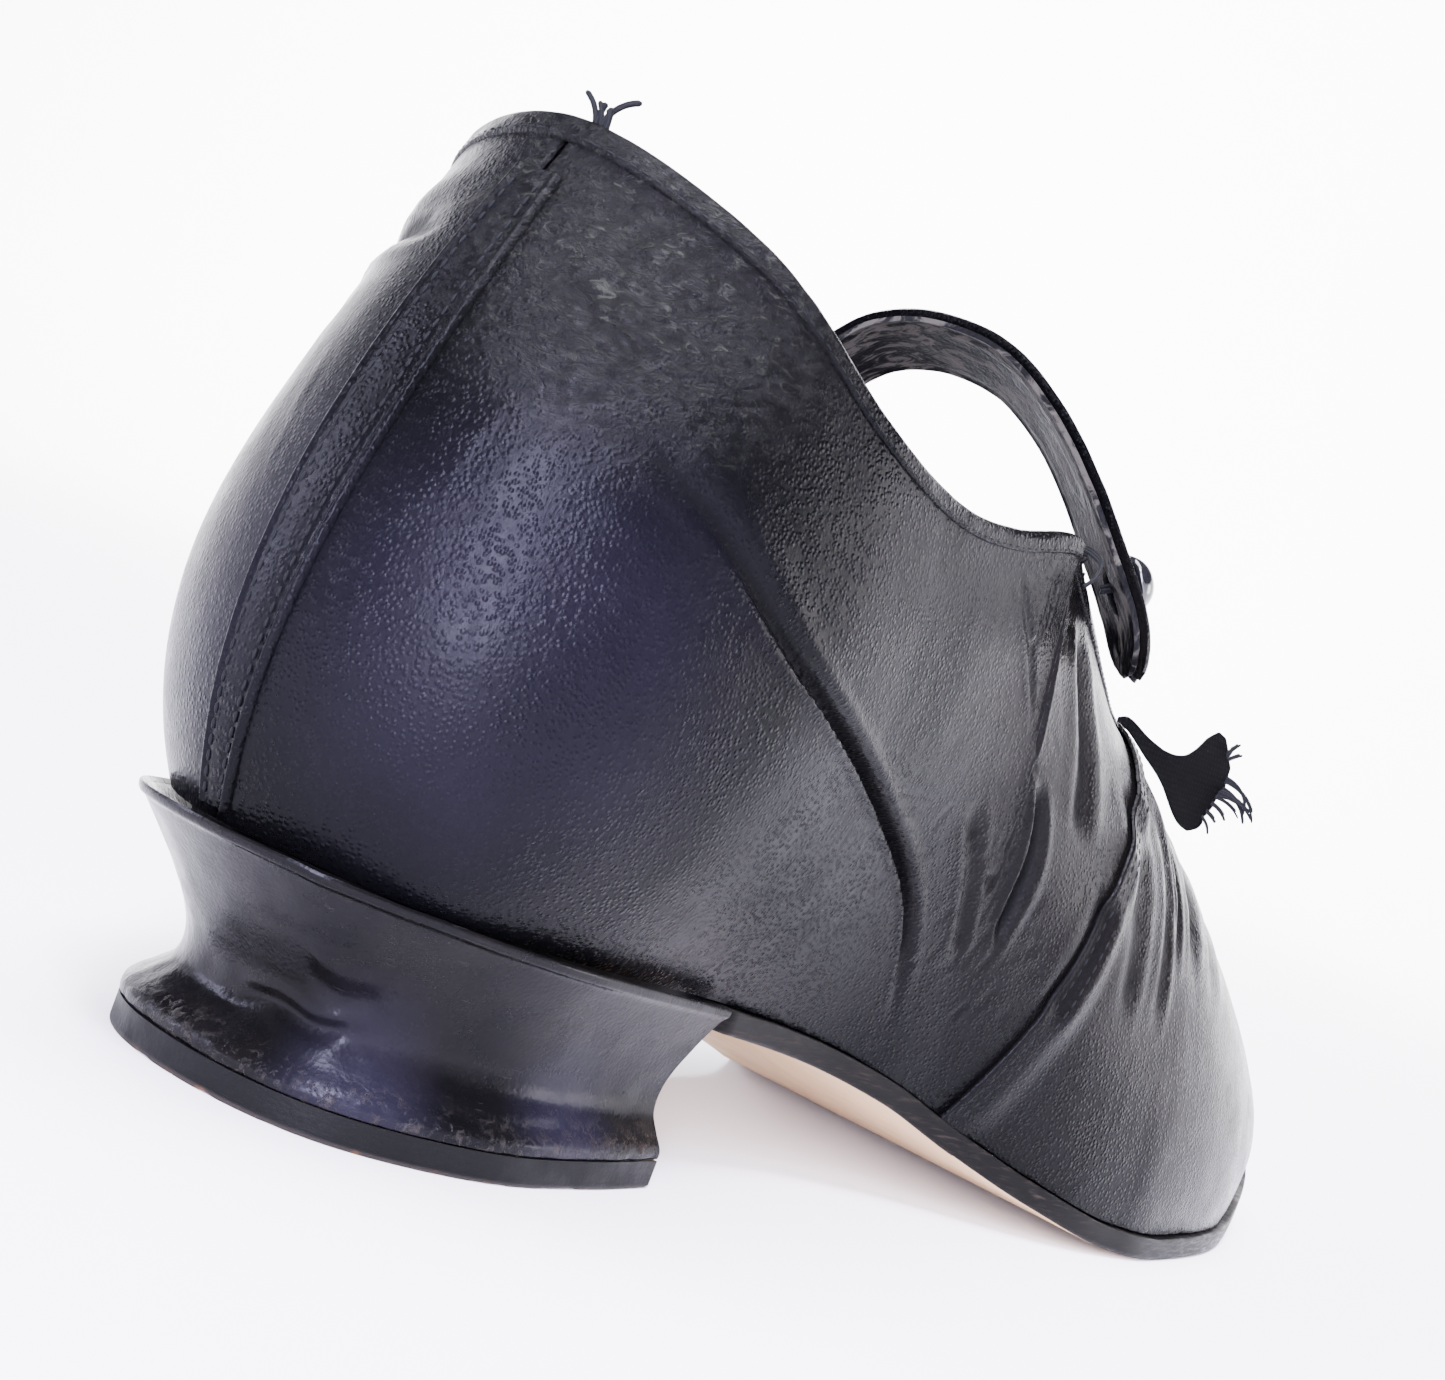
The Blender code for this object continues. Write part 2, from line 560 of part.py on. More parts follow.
def make_upper(leather, lining, stiff, binding):
    heights = wall_heights(0, 1, 12)
    sheet("vamp", vamp_grid(11, heights, 0.0, True), UPPER, leather, flip=True)
    for side, inner in (("lateral", False), ("medial", True)):
        stations = quarter_stations(21, heights, inner)
        points = upper_grid(stations, heights, np.zeros(stations.shape), True)
        sheet(f"quarter_{side}", points, UPPER, leather, flip=inner)

    low, high = LINING_SPAN
    heights = wall_heights(low, 1, 11)
    sheet("vamp_lining", vamp_grid(9, heights, lining_depth, False), LINING, lining, flip=True)
    heights = wall_heights(low, high, 11)
    for side, inner in (("lateral", False), ("medial", True)):
        stations = quarter_stations(19, heights, inner, seam_gap=3 * GAP)
        points = upper_grid(stations, heights, lining_depth(stations, heights[None, :]), False)
        sheet(f"quarter_lining_{side}", points, LINING, lining, flip=inner)

    stiff_depth = UPPER + LAYER_GAP
    around_heel = np.linspace(COUNTER_END, ROUND - COUNTER_END, 31)
    share = np.linspace(0, 1, 6)
    v = low + (counter_top(around_heel) - low)[:, None] * share[None, :]
    u = np.repeat(around_heel[:, None], len(share), 1)
    sheet("heel_counter", layer(u, v, np.full(u.shape, stiff_depth)), STIFFENER, stiff)

    puff = vamp_grid(5, wall_heights(low, 1, 8), stiff_depth, False, PUFF_SHARE)
    sheet("toe_puff", puff, STIFFENER, stiff, flip=True)

    strip_u = BACK + np.linspace(-BACK_STRIP_HALF, BACK_STRIP_HALF, 4)[:, None]
    strip_v = np.linspace(*BACK_STRIP_SPAN, 14)[None, :]
    strip_u, strip_v = np.broadcast_arrays(strip_u, strip_v)
    strip = layer(strip_u, strip_v, np.full(strip_u.shape, -BACK_STRIP_THICK - GAP))
    sheet("back_strip", strip, BACK_STRIP_THICK, leather)

    root_rear, root_front = STRAP_ROOT
    u = np.concatenate([np.linspace(root_front, ROUND - THROAT, 14)[:-1],
                        np.linspace(THROAT, root_rear, 66)])
    edge_line = wall(u, np.ones(u.shape))
    normal = wall_normal(u, np.ones(u.shape))
    beyond = np.cross(np.gradient(edge_line, axis=0), normal)
    beyond /= np.linalg.norm(beyond, axis=-1, keepdims=True)
    middle = edge_line + beyond * BINDING_ABOVE - normal * BINDING_INSIDE
    tube("topline_binding", middle, BINDING_RADIUS, binding)


# ---------------------------------------------------------------- strap, button, ribbon
def strap_frame(place):
    """Middle of the strap's outer face, its outward direction and the direction across it."""
    point = along(STRAP_PATH, place)
    run = along(STRAP_PATH, place + 0.05) - along(STRAP_PATH, place - 0.05)
    run = run / np.linalg.norm(run, axis=-1, keepdims=True)
    outward = np.cross(run, (1.0, 0, 0))
    outward = outward / np.linalg.norm(outward, axis=-1, keepdims=True)
    forward = np.cross(outward, run)
    turn = np.radians(np.interp(place, *STRAP_TWIST))[..., None]
    across = forward * np.cos(turn) - outward * np.sin(turn)
    return point, outward * np.cos(turn) + forward * np.sin(turn), across


def strap_grid(depth, half_width, slot_half):
    last = len(STRAP_PATH) - 1
    places = np.sort(np.append(np.linspace(0, last, 30), SLOT_START))
    point, outward, across = strap_frame(places)
    taper = 1 - 0.5 * smoothstep(TAPER_START, last, places)
    outer = np.maximum(half_width * taper, slot_half + 0.8)
    middle = 0.5 * (outer + slot_half)
    inner = np.full(outer.shape, slot_half)
    share = np.stack([-outer, -middle, -inner, inner, middle, outer], -1)
    points = (point - outward * depth)[:, None] + share[..., None] * across[:, None]
    slot_row = int(np.searchsorted(places, SLOT_START))
    return points, slot_row


def make_strap(leather, lining):
    for name, depth, trim, slot, thickness, material in (
            ("strap", 0.0, 0.0, SLOT_HALF, STRAP_THICK, leather),
            ("strap_lining", STRAP_THICK + GAP, 0.5, SLOT_HALF + 0.2, STRAP_LINING, lining)):
        points, slot_row = strap_grid(depth, STRAP_WIDTH / 2 - trim, slot)
        sheet(name, points, thickness, material, flip=True,
              skip=lambda i, j: j == 2 and i >= slot_row)


def make_button(gloss, thread):
    point, outward, _ = (value[0] for value in strap_frame(np.array([BUTTON_PLACE])))
    mesh = bpy.data.meshes.new("button")
    profile = [(r * MM, 0, z * MM) for r, z in BUTTON_PROFILE]
    mesh.from_pydata(profile, [(k, k + 1) for k in range(len(profile) - 1)], [])
    button = add("button", mesh, gloss)
    screw = button.modifiers.new("turn", "SCREW")
    screw.steps = 20
    screw.render_steps = 20
    screw.use_merge_vertices = True
    screw.merge_threshold = 0.00001
    button.rotation_mode = "QUATERNION"
    button.rotation_quaternion = Vector((0, 0, 1)).rotation_difference(Vector(outward))
    pivot = point - outward * (STRAP_THICK / 2)
    pivot_empty = bpy.data.objects.new("button_pivot", None)
    pivot_empty.location = put(pivot)
    PARTS.objects.link(pivot_empty)
    button.location = Vector(put(point + outward * BUTTON_GAP)) - pivot_empty.location
    button.parent = pivot_empty

    inner_end = point - outward * (STRAP_THICK + STRAP_LINING + GAP + 1.2)
    outer_end = point + outward * (BUTTON_GAP - GAP)
    tube("button_shank", np.array([inner_end, outer_end]), SHANK_RADIUS, thread)
    strand = along(THREAD_PATH, np.linspace(0, len(THREAD_PATH) - 1, 22))
    tube("button_thread", strand, THREAD_RADIUS, thread)


def make_ribbon(cloth):
    path = along(RIBBON_PATH, np.linspace(0, len(RIBBON_PATH) - 1, 11))
    half = along([(h, 0) for h in RIBBON_HALF], np.linspace(0, len(RIBBON_HALF) - 1, 11))[:, 0]
    share = np.linspace(-1, 1, 4)
    points = path[:, None] + share[None, :, None] * half[:, None, None] * np.array(RIBBON_ACROSS)
    sheet("ribbon_tab", points, RIBBON_THICK, cloth)


clear_scene()
PARTS = collection("one_bar_button_shoe")
CUTTERS = collection("cutters")
BLACK_LEATHER = finish("black_leather", BLACK, 0.3)
LINING_LEATHER = finish("lining_leather", (0.04, 0.035, 0.03), 0.7)
SOLE_LEATHER = finish("sole_leather", TAN, 0.6)
HEEL_LEATHER = finish("top_piece_leather", (0.33, 0.19, 0.10), 0.6)
BOARD = finish("fibre_board", (0.42, 0.33, 0.22), 0.8)
CORK = finish("cork", (0.35, 0.22, 0.12), 0.9)
WOOD = finish("heel_wood", (0.55, 0.40, 0.24), 0.7)
STEEL = finish("steel", (0.5, 0.5, 0.5), 0.4, 1.0)
GLOSS = finish("button_gloss", (0.01, 0.01, 0.01), 0.12)
THREAD = finish("black_thread", (0.015, 0.015, 0.015), 0.8)
CLOTH = finish("ribbon_cloth", (0.012, 0.012, 0.014), 0.85)

OUTSOLE = make_outsole(SOLE_LEATHER)
INSOLE_BOARD = make_bottom_layers(LINING_LEATHER, CORK, STEEL, BOARD)
TOP_LIFT, HEEL_BLOCK = make_heel(BLACK_LEATHER, WOOD, HEEL_LEATHER)
make_nails(STEEL, TOP_LIFT, HEEL_BLOCK, OUTSOLE, INSOLE_BOARD)
make_upper(BLACK_LEATHER, LINING_LEATHER, BOARD, BLACK_LEATHER)
make_strap(BLACK_LEATHER, LINING_LEATHER)
make_button(GLOSS, THREAD)
make_ribbon(CLOTH)
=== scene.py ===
"""Looks of the one-bar button shoe: leather, lining, stitching, sole and wear around the CAD frame.

+X points to the toe, +Y to the inner (medial) side, +Z up, in metres. The tables are in millimetres,
with x measured forward from the back of the heel's ground face, as the CAD has them; put() turns them
into the part's frame.
"""
import math

import bmesh
import bpy
import numpy as np
from mathutils import Matrix, Vector


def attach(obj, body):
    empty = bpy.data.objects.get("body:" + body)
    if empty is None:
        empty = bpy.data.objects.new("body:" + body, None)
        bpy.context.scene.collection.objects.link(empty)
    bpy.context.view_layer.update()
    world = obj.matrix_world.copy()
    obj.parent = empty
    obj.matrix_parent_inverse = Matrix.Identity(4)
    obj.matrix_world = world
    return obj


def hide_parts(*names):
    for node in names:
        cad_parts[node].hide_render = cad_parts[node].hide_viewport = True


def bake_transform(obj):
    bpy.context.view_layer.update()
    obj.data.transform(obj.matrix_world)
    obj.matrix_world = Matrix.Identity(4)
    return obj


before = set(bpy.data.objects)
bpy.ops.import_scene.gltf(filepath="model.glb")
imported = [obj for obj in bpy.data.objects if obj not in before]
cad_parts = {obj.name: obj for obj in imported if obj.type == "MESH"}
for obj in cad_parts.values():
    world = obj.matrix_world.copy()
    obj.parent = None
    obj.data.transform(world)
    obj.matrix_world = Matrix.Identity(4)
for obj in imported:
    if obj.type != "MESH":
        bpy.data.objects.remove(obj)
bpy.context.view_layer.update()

MM = 0.001
HEEL_CENTRE_X = 27.0      # from the back of the heel's ground face to the origin
GAP = 0.3                 # clearance between neighbouring pieces
LAYER_GAP = 0.7           # clearance between the curved layers of the upper

# Thicknesses, from the ground up and from the outside in
TOP_PIECE = 3.3
SOLE = 3.3
MARGIN_LEVEL = 1.2        # lasted margin, shank and filler lie in this layer
INSOLE = 2.0
SOCK = 0.8
UPPER = 1.2
STIFFENER = 1.0
LINING = 0.8
COVER = 0.9

# The last: one row for each station round the shoe, from the toe along the outer (lateral) side to
# the heel and back along the inner side. Each row holds the sole's edge (x, y), the top of the upper
# (x, y, z), and the handles of the wall's curve: out and up from its foot, out and down from its top.
LAST = [
    (250, -0.5, 237, -1, 28, 3, 8, 6, 3.5),          # toe tip
    (244, -15, 232, -1, 31, 2, 9, 8, 3.8),
    (228, -27, 221, -1.5, 37, 2, 13, 12, 3.3),
    (205, -37, 203, -2, 46, 2, 18, 18, 3.1),
    (180, -44.3, 181, -2.5, 56, 2, 23, 23, 1.7),
    (154, -46.7, 158, -3, 66.8, 2, 28, 25, 0),       # throat
    (141, -45.2, 149, -14, 69.2, 2, 27, 18, 4),
    (128, -41.5, 124, -23, 74.5, 3, 24, 12, 10),
    (109, -33, 92.5, -29.5, 87.5, 5, 24, 5, 20),     # front of the top corner
    (97, -28.8, 86.5, -31, 90.3, 6, 24, 4, 22),
    (80, -24.8, 71, -32, 87.6, 8, 22, 4, 22),
    (56, -23.8, 56, -32.3, 87.3, 12, 20, 4, 22),
    (26, -25.6, 37, -31.7, 92, 14, 22, 5, 24),
    (3.6, -20, 18, -22.5, 103.6, 14, 24, 8, 28),
    (-8.5, 0, 8.2, 0, 110.2, 10, 24, 16, 30),        # heel back
    (3.6, 20, 16, 22, 105.6, 15, 24, 8, 28),
    (26, 25.6, 37, 31.5, 92, 15, 22, 5, 24),
    (56, 24.2, 57, 31.5, 87.3, 12, 20, 4, 22),
    (80, 21.5, 76, 31, 87.8, 8, 22, 4, 22),
    (98, 18.2, 94, 29.6, 91, 6, 24, 4, 22),
    (112, 17.6, 107, 26.8, 90, 5, 24, 5, 20),        # front of the strap's root
    (129, 19.8, 127, 21, 74.5, 4, 24, 12, 10),
    (141, 24.6, 149, 10, 69.2, 3, 27, 16, 4),
    (154, 30.4, 158, -3, 66.8, 2, 28, 23, 0),        # throat
    (180, 36.8, 181, -2.5, 56, 2, 23, 21, 0.5),
    (205, 33.3, 203, -2, 46, 2, 18, 18, 2.4),
    (228, 25, 221, -1.5, 37, 2, 13, 12, 2.6),
    (244, 15, 232, -1, 31, 2, 9, 8, 4),
]
ROUND = len(LAST)         # stations in one turn
THROAT = 5.0              # station where the vamp opens; the inner side has it at ROUND - THROAT
BACK = 14.0               # station of the back seam
COUNTER_END = 10.0        # the heel counter reaches forward to this station
STATION_LENGTH = 22.0     # a station's usual length round the shoe
BACK_SEAM_GAP = 0.5       # each quarter stops this far short of the back seam
STRAP_ROOT = (18.95, 20.0)    # the binding stops either side of the strap

# Underside of the outsole in side view: seat, waist, flat tread, toe spring
SOLE_LINE = [(-10, 24.6), (30, 21.4), (60, 19.0), (80, 16.9), (97, 13.6), (110, 9.3), (125, 4.8),
             (143, 1.0), (158, 0.0), (186, 0.0), (205, 2.0), (228, 5.6), (252, 10.5)]
WALL_INSET = 1.0          # the upper stands inside the sole's edge by this much
SEAT_INSET = 4.2          # at the heel the sole is trimmed to fit inside the heel cover's lip
SEAT_STEP = (10.75, 10.95)    # that trim steps in between these stations, behind the heel's breast
MARGIN = 8.0              # width of the lasted margin turned in under the insole
LINING_SPAN = (0.035, 0.985)  # height of the quarter linings on the wall
BACK_STRIP_HALF = 0.115   # half the back strip's width, in stations

# Heel: outline of its ground face and of its lip, from the breast's outer end round the back to its
# inner end
GROUND_OUTLINE = [(54.0, -26.4), (40, -27.6), (24, -27), (10, -21), (2.5, -12.5), (0, 0),
                  (2.5, 12.5), (10, 21), (24, 27), (40, 27.6), (56.3, 26.5)]
LIP_OUTLINE = [(60, -25), (39, -27.3), (20, -26.9), (3, -21.1), (-7, -12.2), (-10, 0),
               (-7, 12.2), (3, 21.1), (20, 26.9), (39, 27.3), (62, 25.4)]
# How far the cover draws in between them: (share of its height, inset)
HEEL_WAIST = [(0, 0), (0.06, 0.2), (0.14, 2.4), (0.24, 5.1), (0.36, 6.0), (0.5, 5.5), (0.7, 3.7),
              (0.86, 1.8), (1, 0)]
SEAT_SHARE = 0.85         # the heel block ends at this share of the cover's height
NAIL_SPOTS = [(10, 7.2), (9.5, 3.4), (10.2, 0.2), (9.8, -2.6), (10.3, -5.0), (27.3, 18), (45, 18),
              (28.2, -15.3), (47.3, -16)]
NAIL_RADIUS = 0.5
SEAT_NAILS = 5

# Strap: middle of its outer face from the root on the inner side over the instep to the tip
STRAP_PATH = [(101, 27.9, 92.2), (101.3, 27.2, 98.6), (101.8, 24.0, 105.2), (102.2, 17.2, 110.6),
              (102.5, 7.6, 112.7), (102.8, -3.2, 111.2), (103.2, -13.6, 105.2), (103.6, -22.8, 96.6),
              (104, -29.8, 88.6), (104.3, -34.3, 82.8), (104.6, -37, 77.6)]
STRAP_TWIST = ((0, 0.8, 3, 7, 10), (0, 2, 25, 42, 46))     # places and the turn there in degrees
STRAP_WIDTH = 11.2
STRAP_THICK = 1.4
STRAP_LINING = 0.7
TAPER_START = 8.9         # place along the path where the tip starts to narrow
BUTTON_PLACE = 8.1        # place along the path where the button sits
BUTTON_GAP = 0.8
THREAD_PATH = [(90.6, -32.1, 85.2), (92.6, -32.3, 87.2), (94.8, -30.8, 89.2), (96.8, -27.0, 90.3),
               (99.4, -25.3, 89.0), (101.6, -25.4, 87.2)]

# Ribbon end at the throat: middle line, half width at each point, and the way the width runs
RIBBON_PATH = [(148.5, -15.9, 71.8), (153, -17.8, 69.8), (159, -19.4, 68), (165, -20.8, 66.8),
               (171.5, -22.2, 66.8)]
RIBBON_HALF = [1.3, 2.1, 3.6, 7.2, 8.8]
RIBBON_ACROSS = (0.15, 0.10, 0.98)

# ---------------------------------------------------------------- curves and surfaces
def put(points):
    """Millimetres from the heel's back edge to metres in the part's frame."""
    return (np.asarray(points, float) - (HEEL_CENTRE_X, 0, 0)) * MM


def spline(p0, p1, p2, p3, t):
    """One Catmull-Rom span."""
    return 0.5 * (2 * p1 + (p2 - p0) * t + (2 * p0 - 5 * p1 + 4 * p2 - p3) * t ** 2
                  + (3 * p1 - p0 - 3 * p2 + p3) * t ** 3)


def around(table, u):
    """Closed curve through the rows of a table."""
    table = np.asarray(table, float)
    first = np.floor(u).astype(int)
    rows = [table[(first + k) % len(table)] for k in (-1, 0, 1, 2)]
    return spline(*rows, (u - first)[..., None])


def along(table, w):
    """Open curve through the rows of a table, w from 0 to its last row."""
    table = np.asarray(table, float)
    last = len(table) - 1
    w = np.clip(w, 0, last)
    first = np.minimum(np.floor(w).astype(int), last - 1)
    padded = np.vstack([2 * table[0] - table[1], table, 2 * table[-1] - table[-2]])
    rows = [padded[first + k] for k in (0, 1, 2, 3)]
    return spline(*rows, (w - first)[..., None])


def refined(points):
    """A line through the points, with three more between each two."""
    spans = len(points) - 1
    return along(points, np.linspace(0, spans, 4 * spans + 1))


def unit(vectors, tiny=0.0):
    """The vectors along the last axis, brought to length 1."""
    return vectors / (np.linalg.norm(vectors, axis=-1, keepdims=True) + tiny)


def sole_line(x):
    """Height of the outsole's underside, without overshoot between its points."""
    xs, zs = np.array(SOLE_LINE, float).T
    steps = np.diff(xs)
    grades = np.diff(zs) / steps
    slopes = np.concatenate([grades[:1], np.zeros(len(xs) - 2), grades[-1:]])
    for k in range(1, len(xs) - 1):
        if grades[k - 1] * grades[k] > 0:
            slopes[k] = 2 / (1 / grades[k - 1] + 1 / grades[k])
    x = np.clip(x, xs[0], xs[-1])
    k = np.clip(np.searchsorted(xs, x) - 1, 0, len(steps) - 1)
    t = (x - xs[k]) / steps[k]
    return (zs[k] * (1 + 2 * t) * (1 - t) ** 2 + steps[k] * slopes[k] * t * (1 - t) ** 2
            + zs[k + 1] * t ** 2 * (3 - 2 * t) + steps[k] * slopes[k + 1] * t ** 2 * (t - 1))


def smoothstep(low, high, value):
    t = np.clip((value - low) / (high - low), 0, 1)
    return t * t * (3 - 2 * t)


def edge(u, inset):
    """The sole's edge in plan, moved inward by inset, and its outward direction."""
    u = np.asarray(u, float)
    point = around(LAST, u)[..., :2]
    run = around(LAST, u + 0.01)[..., :2] - around(LAST, u - 0.01)[..., :2]
    run = unit(run)
    outward = np.stack([-run[..., 1], run[..., 0]], -1)
    return point - outward * np.asarray(inset)[..., None], outward


def wall(u, v):
    """The outer face of the upper: u round the shoe, v from the sole (0) to the top (1)."""
    u, v = np.broadcast_arrays(np.asarray(u, float) % ROUND, np.asarray(v, float))
    row = around(LAST, u)
    mirror = around(LAST, (ROUND - u) % ROUND)
    ridge = ((u < THROAT) | (u > ROUND - THROAT))[..., None]
    top = np.where(ridge, 0.5 * (row[..., 2:5] + mirror[..., 2:5]), row[..., 2:5])
    plan, outward = edge(u, WALL_INSET)
    foot = raised(plan, sole_line(plan[..., 0]) + SOLE + GAP)
    outward = np.concatenate([outward, np.zeros(outward.shape[:-1] + (1,))], -1)
    up = np.array([0, 0, 1.0])
    low = foot + outward * row[..., 5:6] + up * row[..., 6:7]
    high = top + outward * row[..., 7:8] - up * row[..., 8:9]
    v = v[..., None]
    return (foot * (1 - v) ** 3 + 3 * low * v * (1 - v) ** 2 + 3 * high * v ** 2 * (1 - v)
            + top * v ** 3)


def wall_normal(u, v):
    """Outward direction of the upper's face; the very top takes the direction just below it."""
    step = 0.01
    u, v = np.broadcast_arrays(np.asarray(u, float), np.clip(v, 0.02, 0.97))
    below, above = v - step, v + step
    normal = np.cross(wall(u, above) - wall(u, below), wall(u + step, v) - wall(u - step, v))
    return unit(normal)


def layer(u, v, depth):
    """The surface that lies depth inside the upper's face."""
    return wall(u, v) - wall_normal(u, v) * np.asarray(depth)[..., None]


def seam(v):
    """Station of the vamp seam on the outer side, at height v."""
    return 8.0 - 1.75 * np.asarray(v, float)


def lining_depth(u, v):
    """The lining lies against the leather, and steps inside the toe puff and the heel counter."""
    round_u = np.minimum(u % ROUND, ROUND - u % ROUND)
    toe = 1 - smoothstep(3.4, 4.4, round_u)
    heel = smoothstep(COUNTER_END - 1.0, COUNTER_END - 0.2, round_u) * (1 - smoothstep(0.74, 0.92, v))
    return UPPER + LAYER_GAP + (STIFFENER + LAYER_GAP) * np.maximum(toe, heel)


def margin_row(u):
    """Inner edge of the lasted margin, under the insole."""
    plan, _ = edge(u, WALL_INSET + MARGIN)
    return raised(plan, sole_line(plan[..., 0]) + SOLE + GAP)


def heel_ring(w, t):
    """Heel outline in plan at share t of the cover's height, w round it; inset comes with t."""
    w, t = np.broadcast_arrays(np.asarray(w, float), np.asarray(t, float))
    lean = (t ** 1.6)[..., None]

    def blend(place):
        return along(GROUND_OUTLINE, place) * (1 - lean) + along(LIP_OUTLINE, place) * lean

    point = blend(w)
    run = unit(blend(w + 0.05) - blend(w - 0.05))
    inward = np.stack([run[..., 1], -run[..., 0]], -1)
    waist = along(HEEL_WAIST, np.interp(t, [p[0] for p in HEEL_WAIST], range(len(HEEL_WAIST))))[..., 1]
    fade = 0.55 + 0.45 * np.sin(np.pi * w / (len(GROUND_OUTLINE) - 1))
    return point, inward, waist * fade


def heel_surface(w, t):
    """Heel cover's outer face."""
    point, inward, waist = heel_ring(w, t)
    plan = point + inward * waist[..., None]
    base = TOP_PIECE + GAP
    lip = sole_line(plan[..., 0]) + SOLE
    return raised(plan, base + np.asarray(t) * (lip - base))


# ---------------------------------------------------------------- relief of the worn leather
AROUND_MM = 20.0          # leather in one station round the shoe
UP_MM = 75.0              # leather from the sole to the top

# Each crease: its line in (station, height), depth, width on either side and height of its shoulder
COUNTER_TOP = [(13.45, 0.72), (13.13, 0.69), (12.77, 0.66), (12.29, 0.61), (11.59, 0.55)]
COUNTER_EDGE = [(12.77, 0.66), (12.29, 0.61), (11.59, 0.55), (10.8, 0.47), (9.79, 0.30), (9.3, 0.05)]
SIDE_CREASES = [
    ([(8.55, 0.95), (8.3, 0.78), (8.4, 0.62)], 0.8, 1.3, 2.0, 0.35),
    ([(8.05, 0.62), (8.0, 0.48), (8.35, 0.30)], 1.0, 1.3, 1.8, 0.45),
    ([(7.75, 0.95), (7.5, 0.74), (7.5, 0.55)], 0.9, 1.4, 1.8, 0.4),
    ([(7.1, 0.55), (7.25, 0.42), (7.6, 0.25)], 0.8, 1.3, 1.7, 0.35),
    ([(9.9, 0.94), (9.45, 0.82), (8.9, 0.66)], 0.25, 0.6, 0.8, 0.15),
    ([(9.3, 0.96), (9.25, 0.86), (9.35, 0.78)], 0.3, 0.9, 0.9, 0.15),
    ([(9.5, 0.52), (9.14, 0.38), (8.9, 0.22)], 0.45, 1.6, 1.6, 0.2),
    ([(13.62, 0.66), (13.66, 0.56), (13.72, 0.44)], -0.16, 0.35, 0.35, -0.05),
    ([(13.48, 0.66), (13.5, 0.58), (13.5, 0.48)], -0.14, 0.35, 0.35, -0.05),
    ([(13.78, 0.84), (13.55, 0.80), (13.2, 0.79)], 0.25, 0.7, 1.0, 0.12),
]
BACK_CREASE = [(14.25, 0.83), (14.7, 0.82), (15.2, 0.79), (15.9, 0.72)]
VAMP_CREASES = [
    ([(6.95, 0.8), (6.65, 0.55), (6.75, 0.3)], 0.5, 1.8, 2.2, 0.3),
    ([(6.35, 0.82), (6.05, 0.55), (6.15, 0.3)], 0.45, 1.8, 2.0, 0.3),
    ([(5.75, 0.42), (5.2, 0.7), (4.75, 1.0)], 0.45, 1.4, 1.8, 0.3),
    ([(5.2, 0.4), (4.7, 0.7), (4.35, 1.0)], 0.5, 1.4, 1.8, 0.35),
    ([(4.75, 0.38), (4.3, 0.68), (4.0, 1.0)], 0.35, 1.2, 1.6, 0.25),
    ([(5.5, 0.55), (5.05, 0.8), (4.9, 0.95)], 0.25, 0.8, 1.0, 0.15),
]
# Each patch of fine wrinkles: seed, count, middle (station, height), spread and length in millimetres,
# slant in degrees, depth
WRINKLE_PATCHES = [
    (11, 44, (8.7, 0.38), (11, 8), 9, -36, 0.17),
    (12, 30, (13.2, 0.9), (10, 4), 5, 8, 0.10),
    (13, 26, (14.8, 0.9), (8, 4), 6, -6, 0.10),
    (15, 14, (7.7, 0.7), (7, 9), 11, 80, 0.08),
    (16, 20, (19.2, 0.42), (10, 7), 12, 36, 0.12),
    (18, 14, (6.4, 0.6), (8, 10), 12, 75, 0.08),
    (19, 14, (21.8, 0.6), (8, 10), 12, -75, 0.08),
    (20, 14, (4.9, 0.72), (9, 9), 10, 60, 0.07),
    (21, 14, (23.1, 0.72), (9, 9), 10, -60, 0.07),
]


def soft_noise(a, b, size, seed):
    """Smooth noise from -1 to 1 with bumps about size millimetres across."""
    lattice = np.random.default_rng(seed).uniform(-1, 1, (64, 64))
    x, y = np.asarray(a) / size, np.asarray(b) / size
    i, j = np.floor(x).astype(int), np.floor(y).astype(int)
    s, t = smoothstep(0, 1, x - i), smoothstep(0, 1, y - j)
    low = lattice[i % 64, j % 64] * (1 - s) + lattice[(i + 1) % 64, j % 64] * s
    high = lattice[i % 64, (j + 1) % 64] * (1 - s) + lattice[(i + 1) % 64, (j + 1) % 64] * s
    return low * (1 - t) + high * t


def groove(a, b, line, depth, before, after, shoulder=0.0, fade=0.22):
    """Height of a crease along a line: a valley with a raised shoulder, faded out at both ends."""
    reach = 4 * max(before, after)
    low, high = line.min(0) - reach, line.max(0) + reach
    near = (a > low[0]) & (a < high[0]) & (b > low[1]) & (b < high[1])
    height = np.zeros(a.shape)
    if not near.any():
        return height
    spots = np.stack([a[near], b[near]], -1)
    best = np.full(len(spots), np.inf)
    signed = np.zeros(len(spots))
    share = np.zeros(len(spots))
    runs = np.linalg.norm(np.diff(line, axis=0), axis=1)
    total, done = runs.sum(), 0.0
    for start, end, run in zip(line[:-1], line[1:], runs):
        along_line = (end - start) / run
        offset = spots - start
        place = np.clip(offset @ along_line, 0, run)
        gap = offset - place[:, None] * along_line
        distance = np.linalg.norm(gap, axis=1)
        side = np.sign(along_line[0] * offset[:, 1] - along_line[1] * offset[:, 0])
        closer = distance < best
        best[closer] = distance[closer]
        signed[closer] = (side * distance)[closer]
        share[closer] = ((done + place) / total)[closer]
        done += run
    width = np.where(signed < 0, before, after)
    ends = smoothstep(0, fade, share) * smoothstep(0, fade, 1 - share)
    valley = -depth * np.exp(-(signed / width) ** 2)
    crest = shoulder * np.exp(-((np.abs(signed) - 1.9 * width) / (0.9 * width)) ** 2)
    height[near] = (valley + crest) * ends
    return height


